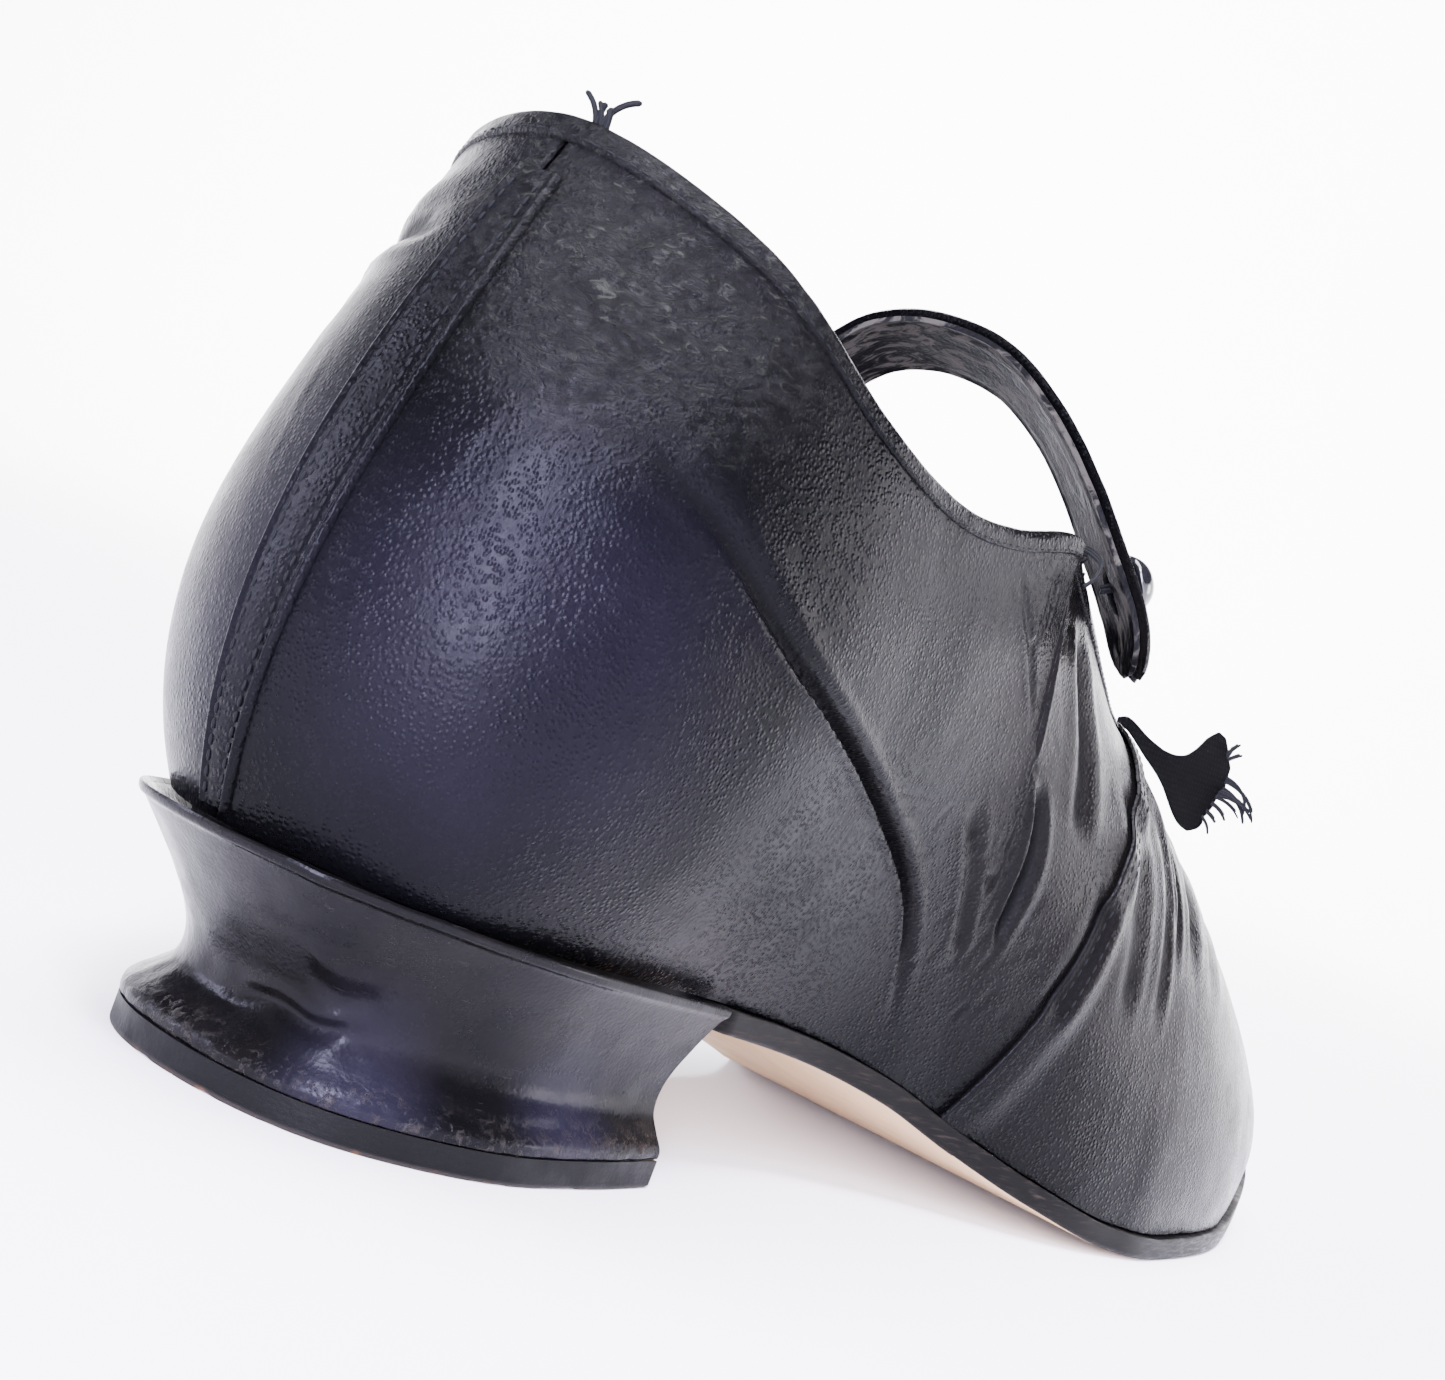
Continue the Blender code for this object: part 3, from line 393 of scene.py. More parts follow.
def on_leather(path, mirror=False):
    """A line in (station, height) as a smooth line in millimetres of leather."""
    points = np.array(path, float)
    if mirror:
        points[:, 0] = ROUND - points[:, 0]
    return refined(points * (AROUND_MM, UP_MM))


def wrinkle_patch(a, b, seed, count, middle, spread, length, slant, depth):
    rng = np.random.default_rng(seed)
    height = np.zeros(a.shape)
    for _ in range(count):
        centre = np.array(middle) * (AROUND_MM, UP_MM) + rng.normal(size=2) * spread
        turn = math.radians(slant) + rng.normal() * 0.42
        half = 0.5 * length * rng.uniform(0.5, 1.1)
        forward = np.array([math.cos(turn), math.sin(turn)])
        aside = np.array([-forward[1], forward[0]]) * half * rng.normal() * 0.18
        line = along([centre - forward * half, centre + aside, centre + forward * half],
                     np.linspace(0, 2, 7))
        width = rng.uniform(0.45, 0.9)
        height += groove(a, b, line, depth * rng.uniform(0.4, 1), width, width, depth * 0.3, 0.35)
    return height


def relief(u, v):
    """Height in millimetres of the worn leather above its smooth surface."""
    u, v = np.broadcast_arrays(np.asarray(u, float) % ROUND, np.asarray(v, float))
    a, b = u * AROUND_MM, v * UP_MM
    round_u = np.minimum(u, ROUND - u)
    folded = round_u * AROUND_MM
    near_ridge = smoothstep(0.75, 0.97, v) * (1 - smoothstep(THROAT, THROAT + 0.6, round_u))
    height = np.zeros(a.shape)
    for size, amount, seed in ((26, 0.35, 1), (9, 0.10, 2), (3.2, 0.025, 3)):
        own = soft_noise(a, b, size, seed)
        shared = soft_noise(folded, b, size, seed)
        height += amount * (own * (1 - near_ridge) + shared * near_ridge)
    for mirror, strength in ((False, 1.0), (True, 0.85)):
        height += strength * groove(a, b, on_leather(COUNTER_TOP, mirror), 0.7,
                                    *((1.9, 1.0) if not mirror else (1.0, 1.9)), 0.25, 0.4)
        height += strength * groove(a, b, on_leather(COUNTER_EDGE, mirror), 2.1,
                                    *((1.3, 0.65) if not mirror else (0.65, 1.3)), 0.5, 0.35)
        for path, depth, before, after, shoulder in SIDE_CREASES + VAMP_CREASES:
            height += strength * groove(a, b, on_leather(path, mirror), depth, before, after, shoulder)
    height += groove(a, b, on_leather(BACK_CREASE), 1.3, 1.2, 2.4, 0.5)
    for patch in WRINKLE_PATCHES:
        height += wrinkle_patch(a, b, *patch)
    return height


def skin(u, v, lift=0.0):
    """A point on the worn leather, lift above it."""
    u, v = np.broadcast_arrays(np.asarray(u, float), np.asarray(v, float))
    return wall(u, v) + wall_normal(u, v) * (relief(u, v) + lift)[..., None]


def roll(reach, radius):
    """How far a rounded edge has dropped at this distance from the edge."""
    rest = np.clip(radius - reach, 0, radius)
    return radius - np.sqrt(radius ** 2 - rest ** 2)


def reach_to(points, axis, from_end):
    """Distance along a grid's lines to its first or last row."""
    runs = np.linalg.norm(np.diff(points, axis=axis), axis=-1)
    zero = np.zeros_like(np.take(runs, [0], axis=axis))
    done = np.concatenate([zero, np.cumsum(runs, axis=axis)], axis)
    return np.take(done, [-1], axis=axis) - done if from_end else done


def crowded(low, high, count, at_low=0.0, at_high=0.0, edge_count=10):
    """Values from low to high, with extra ones within a short stretch of either end."""
    values = np.linspace(low, high, count)
    if at_low:
        values = np.append(values, low + at_low * np.linspace(0, 1, edge_count) ** 1.7)
    if at_high:
        values = np.append(values, high - at_high * np.linspace(0, 1, edge_count) ** 1.7)
    return np.unique(values.round(6))


# ---------------------------------------------------------------- meshes
SHARP = math.radians(50)      # edges that fold more than this are shaded sharp


def link(made, material):
    made.data.materials.append(material)
    bpy.context.scene.collection.objects.link(made)
    return made


def mesh_piece(name, points, faces, material, height=None):
    """A mesh from points in millimetres; height is kept on its vertices for the material to read."""
    mesh = bpy.data.meshes.new(name)
    used = np.unique(np.concatenate([np.ravel(face) for face in faces]))
    place = np.full(len(points), -1)
    place[used] = np.arange(len(used))
    mesh.from_pydata(put(points)[used].tolist(), [], [[int(place[k]) for k in face] for face in faces])
    if height is not None:
        values = mesh.attributes.new("relief", "FLOAT", "POINT")
        values.data.foreach_set("value", np.asarray(height, np.float32)[used])
    mesh.shade_smooth()
    return link(bpy.data.objects.new(name, mesh), material)


def grid_faces(ids, flip):
    quads = np.stack([ids[:-1, :-1], ids[:-1, 1:], ids[1:, 1:], ids[1:, :-1]], -1).reshape(-1, 4)
    faces = []
    for quad in (quads[:, ::-1] if flip else quads):
        ring = [k for n, k in enumerate(quad) if k != quad[n - 1]]
        if len(ring) > 2:
            faces.append(ring)
    return faces


def pointed(points, *rows):
    """Vertex numbers for a grid whose given rows each come together in one point."""
    ids = np.arange(points.shape[0] * points.shape[1]).reshape(points.shape[:2])
    for row in rows:
        ids[row, :] = ids[row, 0]
    return ids


def ring_ids(rows, columns, *ends):
    """Vertex numbers for a grid that closes on itself; the given rows come together in one point."""
    ids = np.arange(rows * columns).reshape(rows, columns)
    for row in ends:
        ids[row, :] = ids[row, 0]
    return np.concatenate([ids, ids[:, :1]], 1)


def between(left, right, share):
    """Grid between two lines that run side by side; share says where across it each column lies."""
    share = np.asarray(share)[None, :, None]
    return left[:, None] * (1 - share) + right[:, None] * share


def eased(count):
    """Shares from 0 to 1 that lie closer together at both ends."""
    return np.sin(np.linspace(-np.pi / 2, np.pi / 2, count)) * 0.5 + 0.5


def raised(plan, height):
    """A plan (x, y) with its heights added."""
    return np.concatenate([plan, height[..., None]], -1)


def sheet_piece(name, points, thickness, material, flip=False, height=None, ids=None):
    """A thickened surface over a grid of points; ids says which grid points are the same vertex."""
    rows, columns = points.shape[:2]
    if ids is None:
        ids = np.arange(rows * columns).reshape(rows, columns)
    height = np.zeros((rows, columns)) if height is None else height
    made = mesh_piece(name, points.reshape(-1, 3), grid_faces(ids, flip), material, height.ravel())
    return thickened(made, thickness)


def slab_piece(name, low, high, material, height, ids):
    """A plate between two grids of points, one over the other, with upright sides."""
    rows, columns = low.shape[:2]
    count = rows * columns      # the upper grid's vertices follow the lower grid's
    faces = grid_faces(ids, True) + grid_faces(ids + count, False)
    border = np.concatenate([ids[0, :], ids[1:, -1], ids[-1, -2::-1], ids[-2:0:-1, 0]])
    for k, after in zip(border, np.roll(border, -1)):
        if k != after:
            faces.append([k, after, after + count, k + count])
    points = np.concatenate([low.reshape(-1, 3), high.reshape(-1, 3)])
    made = mesh_piece(name, points, faces, material, np.concatenate([height.ravel(), height.ravel()]))
    edit = bmesh.new()
    edit.from_mesh(made.data)
    bmesh.ops.recalc_face_normals(edit, faces=edit.faces)
    edit.to_mesh(made.data)
    edit.free()
    made.data.set_sharp_from_angle(angle=SHARP)
    return made


def thickened(made, thickness):
    """Gives a surface its thickness, on its inner side, and marks its sharp edges."""
    solid = made.modifiers.new("thickness", "SOLIDIFY")
    solid.thickness = thickness * MM
    solid.offset = -1
    bpy.context.view_layer.update()
    evaluated = made.evaluated_get(bpy.context.evaluated_depsgraph_get())
    mesh = bpy.data.meshes.new_from_object(evaluated)
    made.modifiers.clear()
    made.data = mesh
    mesh.shade_smooth()
    mesh.set_sharp_from_angle(angle=SHARP)
    return made


def capsule(segments=8, rings=5):
    """A unit capsule lying along x, rounded at both ends: points and faces."""
    turn = np.linspace(0, np.pi, rings + 1)
    lap = np.arange(segments) * 2 * np.pi / segments
    points = [(-1.0, 0, 0)]
    for angle in turn[1:-1]:
        for side in lap:
            points.append((-np.cos(angle), np.sin(angle) * np.cos(side), np.sin(angle) * np.sin(side)))
    points.append((1.0, 0, 0))
    faces = [(0, 1 + (k + 1) % segments, 1 + k) for k in range(segments)]
    for ring in range(rings - 2):
        low, high = 1 + ring * segments, 1 + (ring + 1) * segments
        for k in range(segments):
            after = (k + 1) % segments
            faces.append((low + k, low + after, high + after, high + k))
    last, tip = 1 + (rings - 2) * segments, len(points) - 1
    faces += [(last + k, last + (k + 1) % segments, tip) for k in range(segments)]
    return np.array(points), faces


def stitches(name, line, normals, material, pitch=1.9, length=1.35, radius=0.17, sunk=0.05):
    """A row of stitches lying along a line on the leather."""
    runs = np.linalg.norm(np.diff(line, axis=0), axis=1)
    places = np.concatenate([[0], np.cumsum(runs)])
    count = int(places[-1] / pitch)
    spots = (np.arange(count) + 0.5) * pitch

    def read(values, ahead_by=0.0):
        return np.stack([np.interp(spots + ahead_by, places, values[:, k]) for k in range(3)], -1)

    middle, up = read(line), read(normals)
    ahead = unit(read(line, 0.3) - middle, 1e-9)
    up = unit(up - ahead * (up * ahead).sum(1, keepdims=True))
    aside = np.cross(up, ahead)
    body, body_faces = capsule()
    points, faces = [], []
    for k in range(count):
        base = len(points) * len(body)
        spot = middle[k] - up[k] * sunk
        points.append(spot + body[:, :1] * ahead[k] * length / 2 + body[:, 1:2] * aside[k] * radius
                      + body[:, 2:] * up[k] * radius)
        faces += [[base + n for n in face] for face in body_faces]
    return mesh_piece(name, np.concatenate(points), faces, material)


def tube(name, points, radius, material, ends=1.0, sides=8):
    """A thread or rod along a line; ends is the share of its radius left at its far tip."""
    points = np.asarray(points, float)
    ahead = unit(np.gradient(points, axis=0), 1e-9)
    count = len(points)
    tail = max(2, count // 6)
    shape = np.ones(count)
    shape[-tail:] = np.linspace(1, ends, tail)
    lap = np.arange(sides) * 2 * np.pi / sides
    side = np.cross(ahead[0], (0.3, 0.5, 0.81))
    rings = []
    for k in range(count):
        side = unit(side - ahead[k] * (side @ ahead[k]))
        up = np.cross(ahead[k], side)
        ring = np.cos(lap)[:, None] * side + np.sin(lap)[:, None] * up
        rings.append(points[k] + ring * (radius * shape[k]))
    faces = []
    for low in range(0, (count - 1) * sides, sides):
        for n in range(sides):
            after = (n + 1) % sides
            faces.append([low + n, low + after, low + sides + after, low + sides + n])
    faces.append(list(range(sides))[::-1])
    faces.append([(count - 1) * sides + n for n in range(sides)])
    return mesh_piece(name, np.concatenate(rings), faces, material)


def joined(name, pieces):
    """One piece from several that share a material."""
    mesh_edit = bmesh.new()
    for piece in pieces:
        mesh_edit.from_mesh(piece.data)
    mesh = bpy.data.meshes.new(name)
    mesh_edit.to_mesh(mesh)
    mesh_edit.free()
    material = pieces[0].data.materials[0]
    for piece in pieces:
        bpy.data.objects.remove(piece, do_unlink=True)
    made = link(bpy.data.objects.new(name, mesh), material)
    mesh.shade_smooth()
    return made

# ---------------------------------------------------------------- materials
class Finish:
    """A node material made one node at a time; each call gives back an output socket."""

    def __init__(self, name, **constants):
        self.material = bpy.data.materials.new(name)
        self.material.use_nodes = True
        self.tree = self.material.node_tree
        self.shader = self.tree.nodes["Principled BSDF"]
        self.place = self.node("ShaderNodeTexCoord", "Object")
        for socket, value in constants.items():
            self.shader.inputs[socket.replace("_", " ")].default_value = value

    def node(self, kind, output, settings=(), **inputs):
        made = self.tree.nodes.new(kind)
        for name, value in dict(settings).items():
            setattr(made, name, value)
        for name, value in inputs.items():
            self.connect(made.inputs[int(name[1:]) if name[0] == "_" else name.replace("_", " ")], value)
        return made.outputs[output]

    def connect(self, socket, value):
        if isinstance(value, bpy.types.NodeSocket):
            self.tree.links.new(value, socket)
        elif isinstance(value, tuple) and len(value) == 3 and socket.type == "RGBA":
            socket.default_value = (*value, 1)
        else:
            socket.default_value = value

    def stretched(self, x, y, z):
        return self.node("ShaderNodeMapping", "Vector", Vector=self.place, Scale=(x, y, z))

    def noise(self, size, detail=4.0, rough=0.55, twist=0.0, place=None):
        """Noise from 0 to 1 whose bumps are about size millimetres across."""
        return self.node("ShaderNodeTexNoise", "Fac", Vector=place or self.place, Scale=1000 / size,
                         Detail=detail, Roughness=rough, Distortion=twist)

    def cells(self, size):
        return self.node("ShaderNodeTexVoronoi", "Distance", Vector=self.place, Scale=1000 / size)

    def ramp(self, value, low, high, to_low=0.0, to_high=1.0):
        return self.node("ShaderNodeMapRange", "Result", {"interpolation_type": "SMOOTHSTEP"},
                         Value=value, From_Min=low, From_Max=high, To_Min=to_low, To_Max=to_high)

    def math(self, operation, first, second=0.0):
        return self.node("ShaderNodeMath", "Value", {"operation": operation}, _0=first, _1=second)

    def times(self, first, second):
        return self.math("MULTIPLY", first, second)

    def mix(self, share, first, second):
        return self.node("ShaderNodeMix", 2, {"data_type": "RGBA"}, _0=share, _6=first, _7=second)

    def spot(self, centre, inner, outer):
        """1 within inner millimetres of a place (x, y, z from the heel's back), 0 past outer."""
        distance = self.node("ShaderNodeVectorMath", "Value", {"operation": "DISTANCE"},
                             _0=self.place, _1=tuple(put(centre)))
        return self.ramp(distance, inner * MM, outer * MM, 1.0, 0.0)

    def relief(self):
        return self.node("ShaderNodeAttribute", "Fac", {"attribute_name": "relief"})

    def bump(self, height, distance, strength=1.0):
        """Adds height to the surface, distance millimetres from 0 to 1."""
        before = self.shader.inputs["Normal"].links
        inputs = {"Height": height, "Distance": distance * MM, "Strength": strength}
        if before:
            inputs["Normal"] = before[0].from_socket
        made = self.node("ShaderNodeBump", "Normal", **inputs)
        self.tree.links.new(made, self.shader.inputs["Normal"])

    def paint(self, color, roughness=None):
        self.connect(self.shader.inputs["Base Color"], color)
        if roughness is not None:
            self.connect(self.shader.inputs["Roughness"], roughness)


def black_leather():
    made = Finish("black_kid", Specular_IOR_Level=0.037, Specular_Tint=(0.92, 0.90, 1.0, 1.0))
    height = made.relief()
    # painted_violet_sheen: violet base colour on both sides of the heel counter, a painted sheen in place
    # of the reflection of a cool window
    painted_violet_sheen = made.math("MAXIMUM", made.spot((2, -24, 55), 10, 34), made.spot((-2, 22, 50), 10, 34))
    # painted_warm_sheen: warm grey base colour on the outer front quarter and vamp side, a painted sheen in
    # place of the reflection of the warm backdrop
    painted_warm_sheen = made.math("MAXIMUM", made.spot((105, -34, 60), 14, 46), made.spot((150, -40, 40), 20, 60))
    upper = made.spot((12, -14, 100), 8, 32)
    color = made.mix(painted_violet_sheen, (0.0011, 0.0011, 0.0013), (0.0034, 0.0029, 0.0052))
    color = made.mix(made.times(painted_warm_sheen, 0.8), color, (0.0036, 0.0032, 0.0030))
    faded = made.ramp(made.noise(14, 4, 0.6), 0.35, 0.75, 0.0, 0.35)
    color = made.mix(faded, color, (0.0008, 0.0008, 0.0010))
    # Painted shade: near-black base colour in the valleys of the relief, the creases' shade painted in
    color = made.mix(made.ramp(height, -1.1, -0.2, 0.95, 0.0), color, (0.0003, 0.0003, 0.0004))
    color = made.mix(made.times(upper, 0.7), color, (0.0034, 0.0032, 0.0034))
    crinkled = made.noise(2.6, 5, 0.72, 1.6, made.stretched(1.0, 1.0, 1.7))
    olive = made.times(upper, made.ramp(crinkled, 0.55, 0.7))
    color = made.mix(made.times(olive, 0.7), color, (0.020, 0.021, 0.017))
    worn = made.times(made.ramp(height, 0.3, 0.9), made.ramp(made.noise(1.6, 5, 0.7), 0.45, 0.7))
    color = made.mix(made.times(worn, 0.3), color, (0.016, 0.015, 0.014))
    dull = made.ramp(made.noise(6, 5, 0.65), 0.3, 0.75, 0.20, 0.32)
    made.paint(color, made.math("ADD", dull, made.ramp(height, -0.9, -0.15, 0.35, 0.0)))
    pebbled = made.ramp(made.noise(17, 3), 0.3, 0.65, 0.45, 1.0)
    pebbles = made.ramp(made.cells(0.62), 0.05, 0.62, 1.0, 0.0)
    made.bump(made.times(pebbles, pebbled), 0.11, 0.7)
    made.bump(made.noise(0.3, 3), 0.04, 0.6)
    creased = made.noise(2.2, 5, 0.7, 1.2, made.stretched(1.0, 1.0, 0.35))
    made.bump(creased, 0.16, 0.5)
    made.bump(made.times(crinkled, upper), 0.9, 0.7)
    return made.material


def heel_leather():
    made = Finish("heel_cover_black", Specular_IOR_Level=0.055, Specular_Tint=(0.90, 0.88, 1.0, 1.0))
    low = made.node("ShaderNodeSeparateXYZ", "Z", Vector=made.place)
    ground = made.ramp(low, 0.0035, 0.0085, 1.0, 0.0)
    color = made.mix(made.ramp(made.noise(12, 4), 0.4, 0.7, 0, 0.7), (0.0018, 0.0017, 0.0019),
                     (0.0036, 0.0031, 0.0028))
    # painted_violet_sheen: violet base colour in two patches on the heel's flared foot, painted highlights
    # in place of the reflection of an overhead window
    painted_violet_sheen = made.math("MAXIMUM", made.spot((6, -20, 8), 3, 13), made.spot((35, -27, 7), 2, 12))
    color = made.mix(made.times(painted_violet_sheen, 0.7), color, (0.0085, 0.0075, 0.0135))
    scuffed = made.times(ground, made.ramp(made.noise(1.3, 5, 0.7, 0.5), 0.5, 0.66))
    color = made.mix(made.times(scuffed, 0.55), color, (0.022, 0.018, 0.016))
    scratch = made.ramp(made.noise(0.9, 4, 0.6, 0.3, made.stretched(0.12, 0.3, 2.2)), 0.66, 0.72)
    color = made.mix(made.times(scratch, 0.4), color, (0.018, 0.016, 0.015))
    made.paint(color, made.ramp(made.noise(5, 5, 0.65), 0.3, 0.75, 0.17, 0.34))
    made.bump(made.cells(0.5), 0.05, 0.4)
    made.bump(made.noise(1.7, 5, 0.65, 0.6), 0.10, 0.4)
    made.bump(scuffed, 0.15, 0.6)
    return made.material


def lining_leather(name, color, worn_color, centre, size):
    made = Finish(name)
    worn = made.times(made.spot(centre, size * 0.3, size), made.ramp(made.noise(9, 5), 0.35, 0.7))
    shade = made.mix(made.ramp(made.noise(5, 5, 0.6), 0.35, 0.7), color, tuple(0.6 * c for c in color))
    made.paint(made.mix(worn, shade, worn_color), made.ramp(made.noise(3), 0.3, 0.7, 0.55, 0.75))
    made.bump(made.cells(0.8), 0.08, 0.5)
    made.bump(made.noise(2.0, 5, 0.65), 0.15, 0.5)
    return made.material


def strap_underside():
    made = Finish("strap_underside", Specular_IOR_Level=0.06)
    streak = made.noise(2.4, 5, 0.7, 0.8, made.stretched(1.7, 0.35, 0.35))
    color = made.mix(made.ramp(streak, 0.5, 0.58), (0.0020, 0.0019, 0.0024), (0.034, 0.031, 0.028))
    made.paint(color, made.ramp(streak, 0.4, 0.6, 0.4, 0.62))
    made.bump(streak, 0.3, 0.7)
    made.bump(made.cells(0.7), 0.08, 0.5)
    return made.material


def edge_ink():
    made = Finish("edge_ink", Specular_IOR_Level=0.04)
    layered = made.noise(0.8, 4, 0.6, 0.2, made.stretched(0.25, 0.25, 2.0))
    made.paint(made.mix(made.ramp(layered, 0.5, 0.75), (0.0022, 0.0021, 0.0021), (0.014, 0.011, 0.009)),
               made.ramp(layered, 0.3, 0.7, 0.3, 0.55))
    made.bump(layered, 0.12, 0.6)
    return made.material


STAMP = (182, 3)          # middle of the pressed ring on the sole, x and y
STAMP_RINGS = ((13.4, 0.5), (10.6, 0.4), (3.2, 0.45))      # radius and half width of each line
BLOTCH = (188, 23)        # glue stain beside it


def flat_distance(made, spot, stretch=(1.0, 1.0)):
    """Distance in millimetres from a place on the sole, seen from below."""
    centre = put((*spot, 0))
    flat = made.node("ShaderNodeMapping", "Vector", Vector=made.place,
                     Location=(-centre[0] / stretch[0], -centre[1] / stretch[1], 0.0),
                     Scale=(1 / stretch[0], 1 / stretch[1], 0.0))
    length = made.node("ShaderNodeVectorMath", "Value", {"operation": "LENGTH"}, _0=flat)
    return made.times(length, 1000.0)


def sole_leather():
    made = Finish("sole_tan")
    axes = {axis: made.node("ShaderNodeSeparateXYZ", axis, Vector=made.place) for axis in "XYZ"}
    cloudy = made.noise(38, 4, 0.55)
    color = made.mix(cloudy, (0.47, 0.295, 0.14), (0.55, 0.37, 0.20))
    front = made.ramp(axes["X"], 0.10, 0.17)
    color = made.mix(made.times(front, 0.75), color, (0.50, 0.32, 0.18))
    # painted_breast_shade: darker brown towards the heel's breast, painted shade where the sole curves down
    # into the breast
    painted_breast_shade = made.ramp(axes["X"], 0.022, 0.05, 1.0, 0.0)
    painted_breast_shade = made.times(painted_breast_shade, made.ramp(made.noise(11, 5, 0.6), 0.25, 0.8, 0.35, 1.0))
    color = made.mix(painted_breast_shade, color, (0.24, 0.115, 0.045))
    tread = made.times(made.ramp(made.noise(16, 5, 0.65), 0.45, 0.75),
                       made.times(made.ramp(axes["X"], 0.11, 0.14),
                                  made.ramp(axes["X"], 0.17, 0.20, 1.0, 0.0)))
    color = made.mix(made.times(tread, 0.6), color, (0.26, 0.16, 0.085))
    fleck = made.ramp(made.noise(1.5, 5, 0.75), 0.66, 0.74)
    color = made.mix(made.times(fleck, 0.45), color, (0.22, 0.13, 0.07))
    pale = made.times(made.ramp(made.noise(1.1, 5, 0.8, 0.4), 0.64, 0.7),
                      made.ramp(made.noise(22, 3), 0.5, 0.65))
    color = made.mix(made.times(pale, 0.7), color, (0.74, 0.60, 0.42))
    scratch = made.ramp(made.noise(1.1, 4, 0.6, 0.3, made.stretched(0.16, 1.5, 1)), 0.67, 0.71)
    color = made.mix(made.times(scratch, 0.3), color, (0.28, 0.17, 0.09))

    ring_distance = flat_distance(made, STAMP)
    pressed = None
    for radius, half in STAMP_RINGS:
        off = made.math("ABSOLUTE", made.math("SUBTRACT", ring_distance, radius))
        line = made.ramp(off, half * 0.5, half * 1.4, 1.0, 0.0)
        pressed = line if pressed is None else made.math("MAXIMUM", pressed, line)
    teeth = made.node("ShaderNodeMapping", "Vector", Vector=made.place,
                      Location=tuple(-put((*STAMP, 0)) * (1, 1, 0)), Scale=(1.0, 1.0, 0.0))
    turn = made.node("ShaderNodeSeparateXYZ", "X", Vector=teeth)
    rise = made.node("ShaderNodeSeparateXYZ", "Y", Vector=teeth)
    angle = made.math("ARCTAN2", rise, turn)
    beat = made.math("SINE", made.times(angle, 40.0))
    band = made.times(made.ramp(ring_distance, 11.3, 11.7),
                      made.ramp(ring_distance, 12.5, 12.9, 1.0, 0.0))
    dots = made.times(made.ramp(beat, 0.0, 0.6), band)
    pressed = made.math("MAXIMUM", pressed, dots)
    faded = made.times(pressed, made.ramp(made.noise(7, 3), 0.25, 0.55, 0.45, 1.0))
    color = made.mix(made.times(faded, 0.55), color, (0.27, 0.16, 0.08))

    wobble = made.math("ADD", flat_distance(made, BLOTCH, (1.25, 0.9)),
                       made.times(made.noise(5, 5, 0.7), 7.0))
    stain = made.ramp(wobble, 9.8, 10.6, 1.0, 0.0)
    splash = made.times(made.ramp(flat_distance(made, (201, 33), (1.6, 0.8)), 6, 11, 1.0, 0.0),
                        made.ramp(made.noise(4.2, 5, 0.7, 0.8), 0.54, 0.6))
    stain = made.math("MAXIMUM", stain, splash)
    crumbs = made.mix(made.ramp(made.noise(0.9, 4), 0.6, 0.7), (0.085, 0.035, 0.014), (0.42, 0.26, 0.12))
    color = made.mix(made.times(stain, 0.93), color, crumbs)
    made.paint(color, made.ramp(made.noise(7, 5), 0.3, 0.7, 0.42, 0.62))
    made.bump(made.noise(0.5, 4), 0.05, 0.5)
    made.bump(made.noise(3.5, 5, 0.6), 0.12, 0.4)
    made.bump(made.math("SUBTRACT", 1.0, faded), 0.35, 0.8)
    made.bump(made.times(stain, made.noise(1.2, 4)), 0.6, 0.8)
    return made.material


def top_piece_leather():
    made = Finish("top_piece_brown", Specular_IOR_Level=0.06)
    axes = {axis: made.node("ShaderNodeSeparateXYZ", axis, Vector=made.place) for axis in "XYZ"}
    reach = made.relief()
    color = made.mix(made.noise(16, 5, 0.6), (0.27, 0.145, 0.07), (0.42, 0.25, 0.13))
    color = made.mix(made.ramp(made.noise(2.5, 5, 0.75), 0.55, 0.75, 0, 0.6), color, (0.17, 0.085, 0.04))
    pale = made.times(made.ramp(made.noise(1.3, 5, 0.8, 0.5), 0.6, 0.68),
                      made.ramp(made.noise(13, 3), 0.5, 0.62))
    color = made.mix(made.times(pale, 0.75), color, (0.66, 0.50, 0.33))
    rim = made.math("ADD", reach, made.times(made.noise(3, 4), 1.6))
    color = made.mix(made.ramp(rim, 1.3, 3.2, 1.0, 0.0), color, (0.12, 0.055, 0.025))
    color = made.mix(made.ramp(rim, 0.9, 1.5, 1.0, 0.0), color, (0.016, 0.013, 0.012))
    side = made.ramp(axes["Z"], 0.0002, 0.0007)
    color = made.mix(side, color, (0.0022, 0.0021, 0.0024))
    made.paint(color, made.ramp(made.noise(5, 5), 0.3, 0.7, 0.4, 0.62))
    made.bump(made.noise(0.7, 5, 0.7), 0.12, 0.6)
    made.bump(made.noise(4, 5, 0.6), 0.2, 0.5)
    made.bump(made.noise(0.8, 4, 0.6, 0.2, made.stretched(0.25, 0.25, 2.0)), 0.08, 0.5)
    return made.material


def raw_board(name, light, dark, size, rough=0.85):
    made = Finish(name)
    made.paint(made.mix(made.ramp(made.noise(size, 5, 0.7), 0.35, 0.65), light, dark), rough)
    made.bump(made.noise(size * 0.6, 4), 0.1, 0.6)
    return made.material


def raw_wood():
    made = Finish("raw_wood")
    lines = made.noise(2.2, 4, 0.6, 0.4, made.stretched(0.15, 1.0, 1.0))
    made.paint(made.mix(made.ramp(lines, 0.35, 0.65), (0.50, 0.34, 0.19), (0.33, 0.20, 0.10)), 0.7)
    made.bump(lines, 0.1, 0.5)
    return made.material


def dull_steel():
    made = Finish("dull_steel", Metallic=1.0)
    spots = made.ramp(made.noise(0.6, 5, 0.7), 0.45, 0.7)
    made.paint(made.mix(spots, (0.36, 0.34, 0.31), (0.10, 0.06, 0.04)), made.ramp(spots, 0, 1, 0.35, 0.7))
    made.bump(spots, 0.04, 0.5)
    return made.material


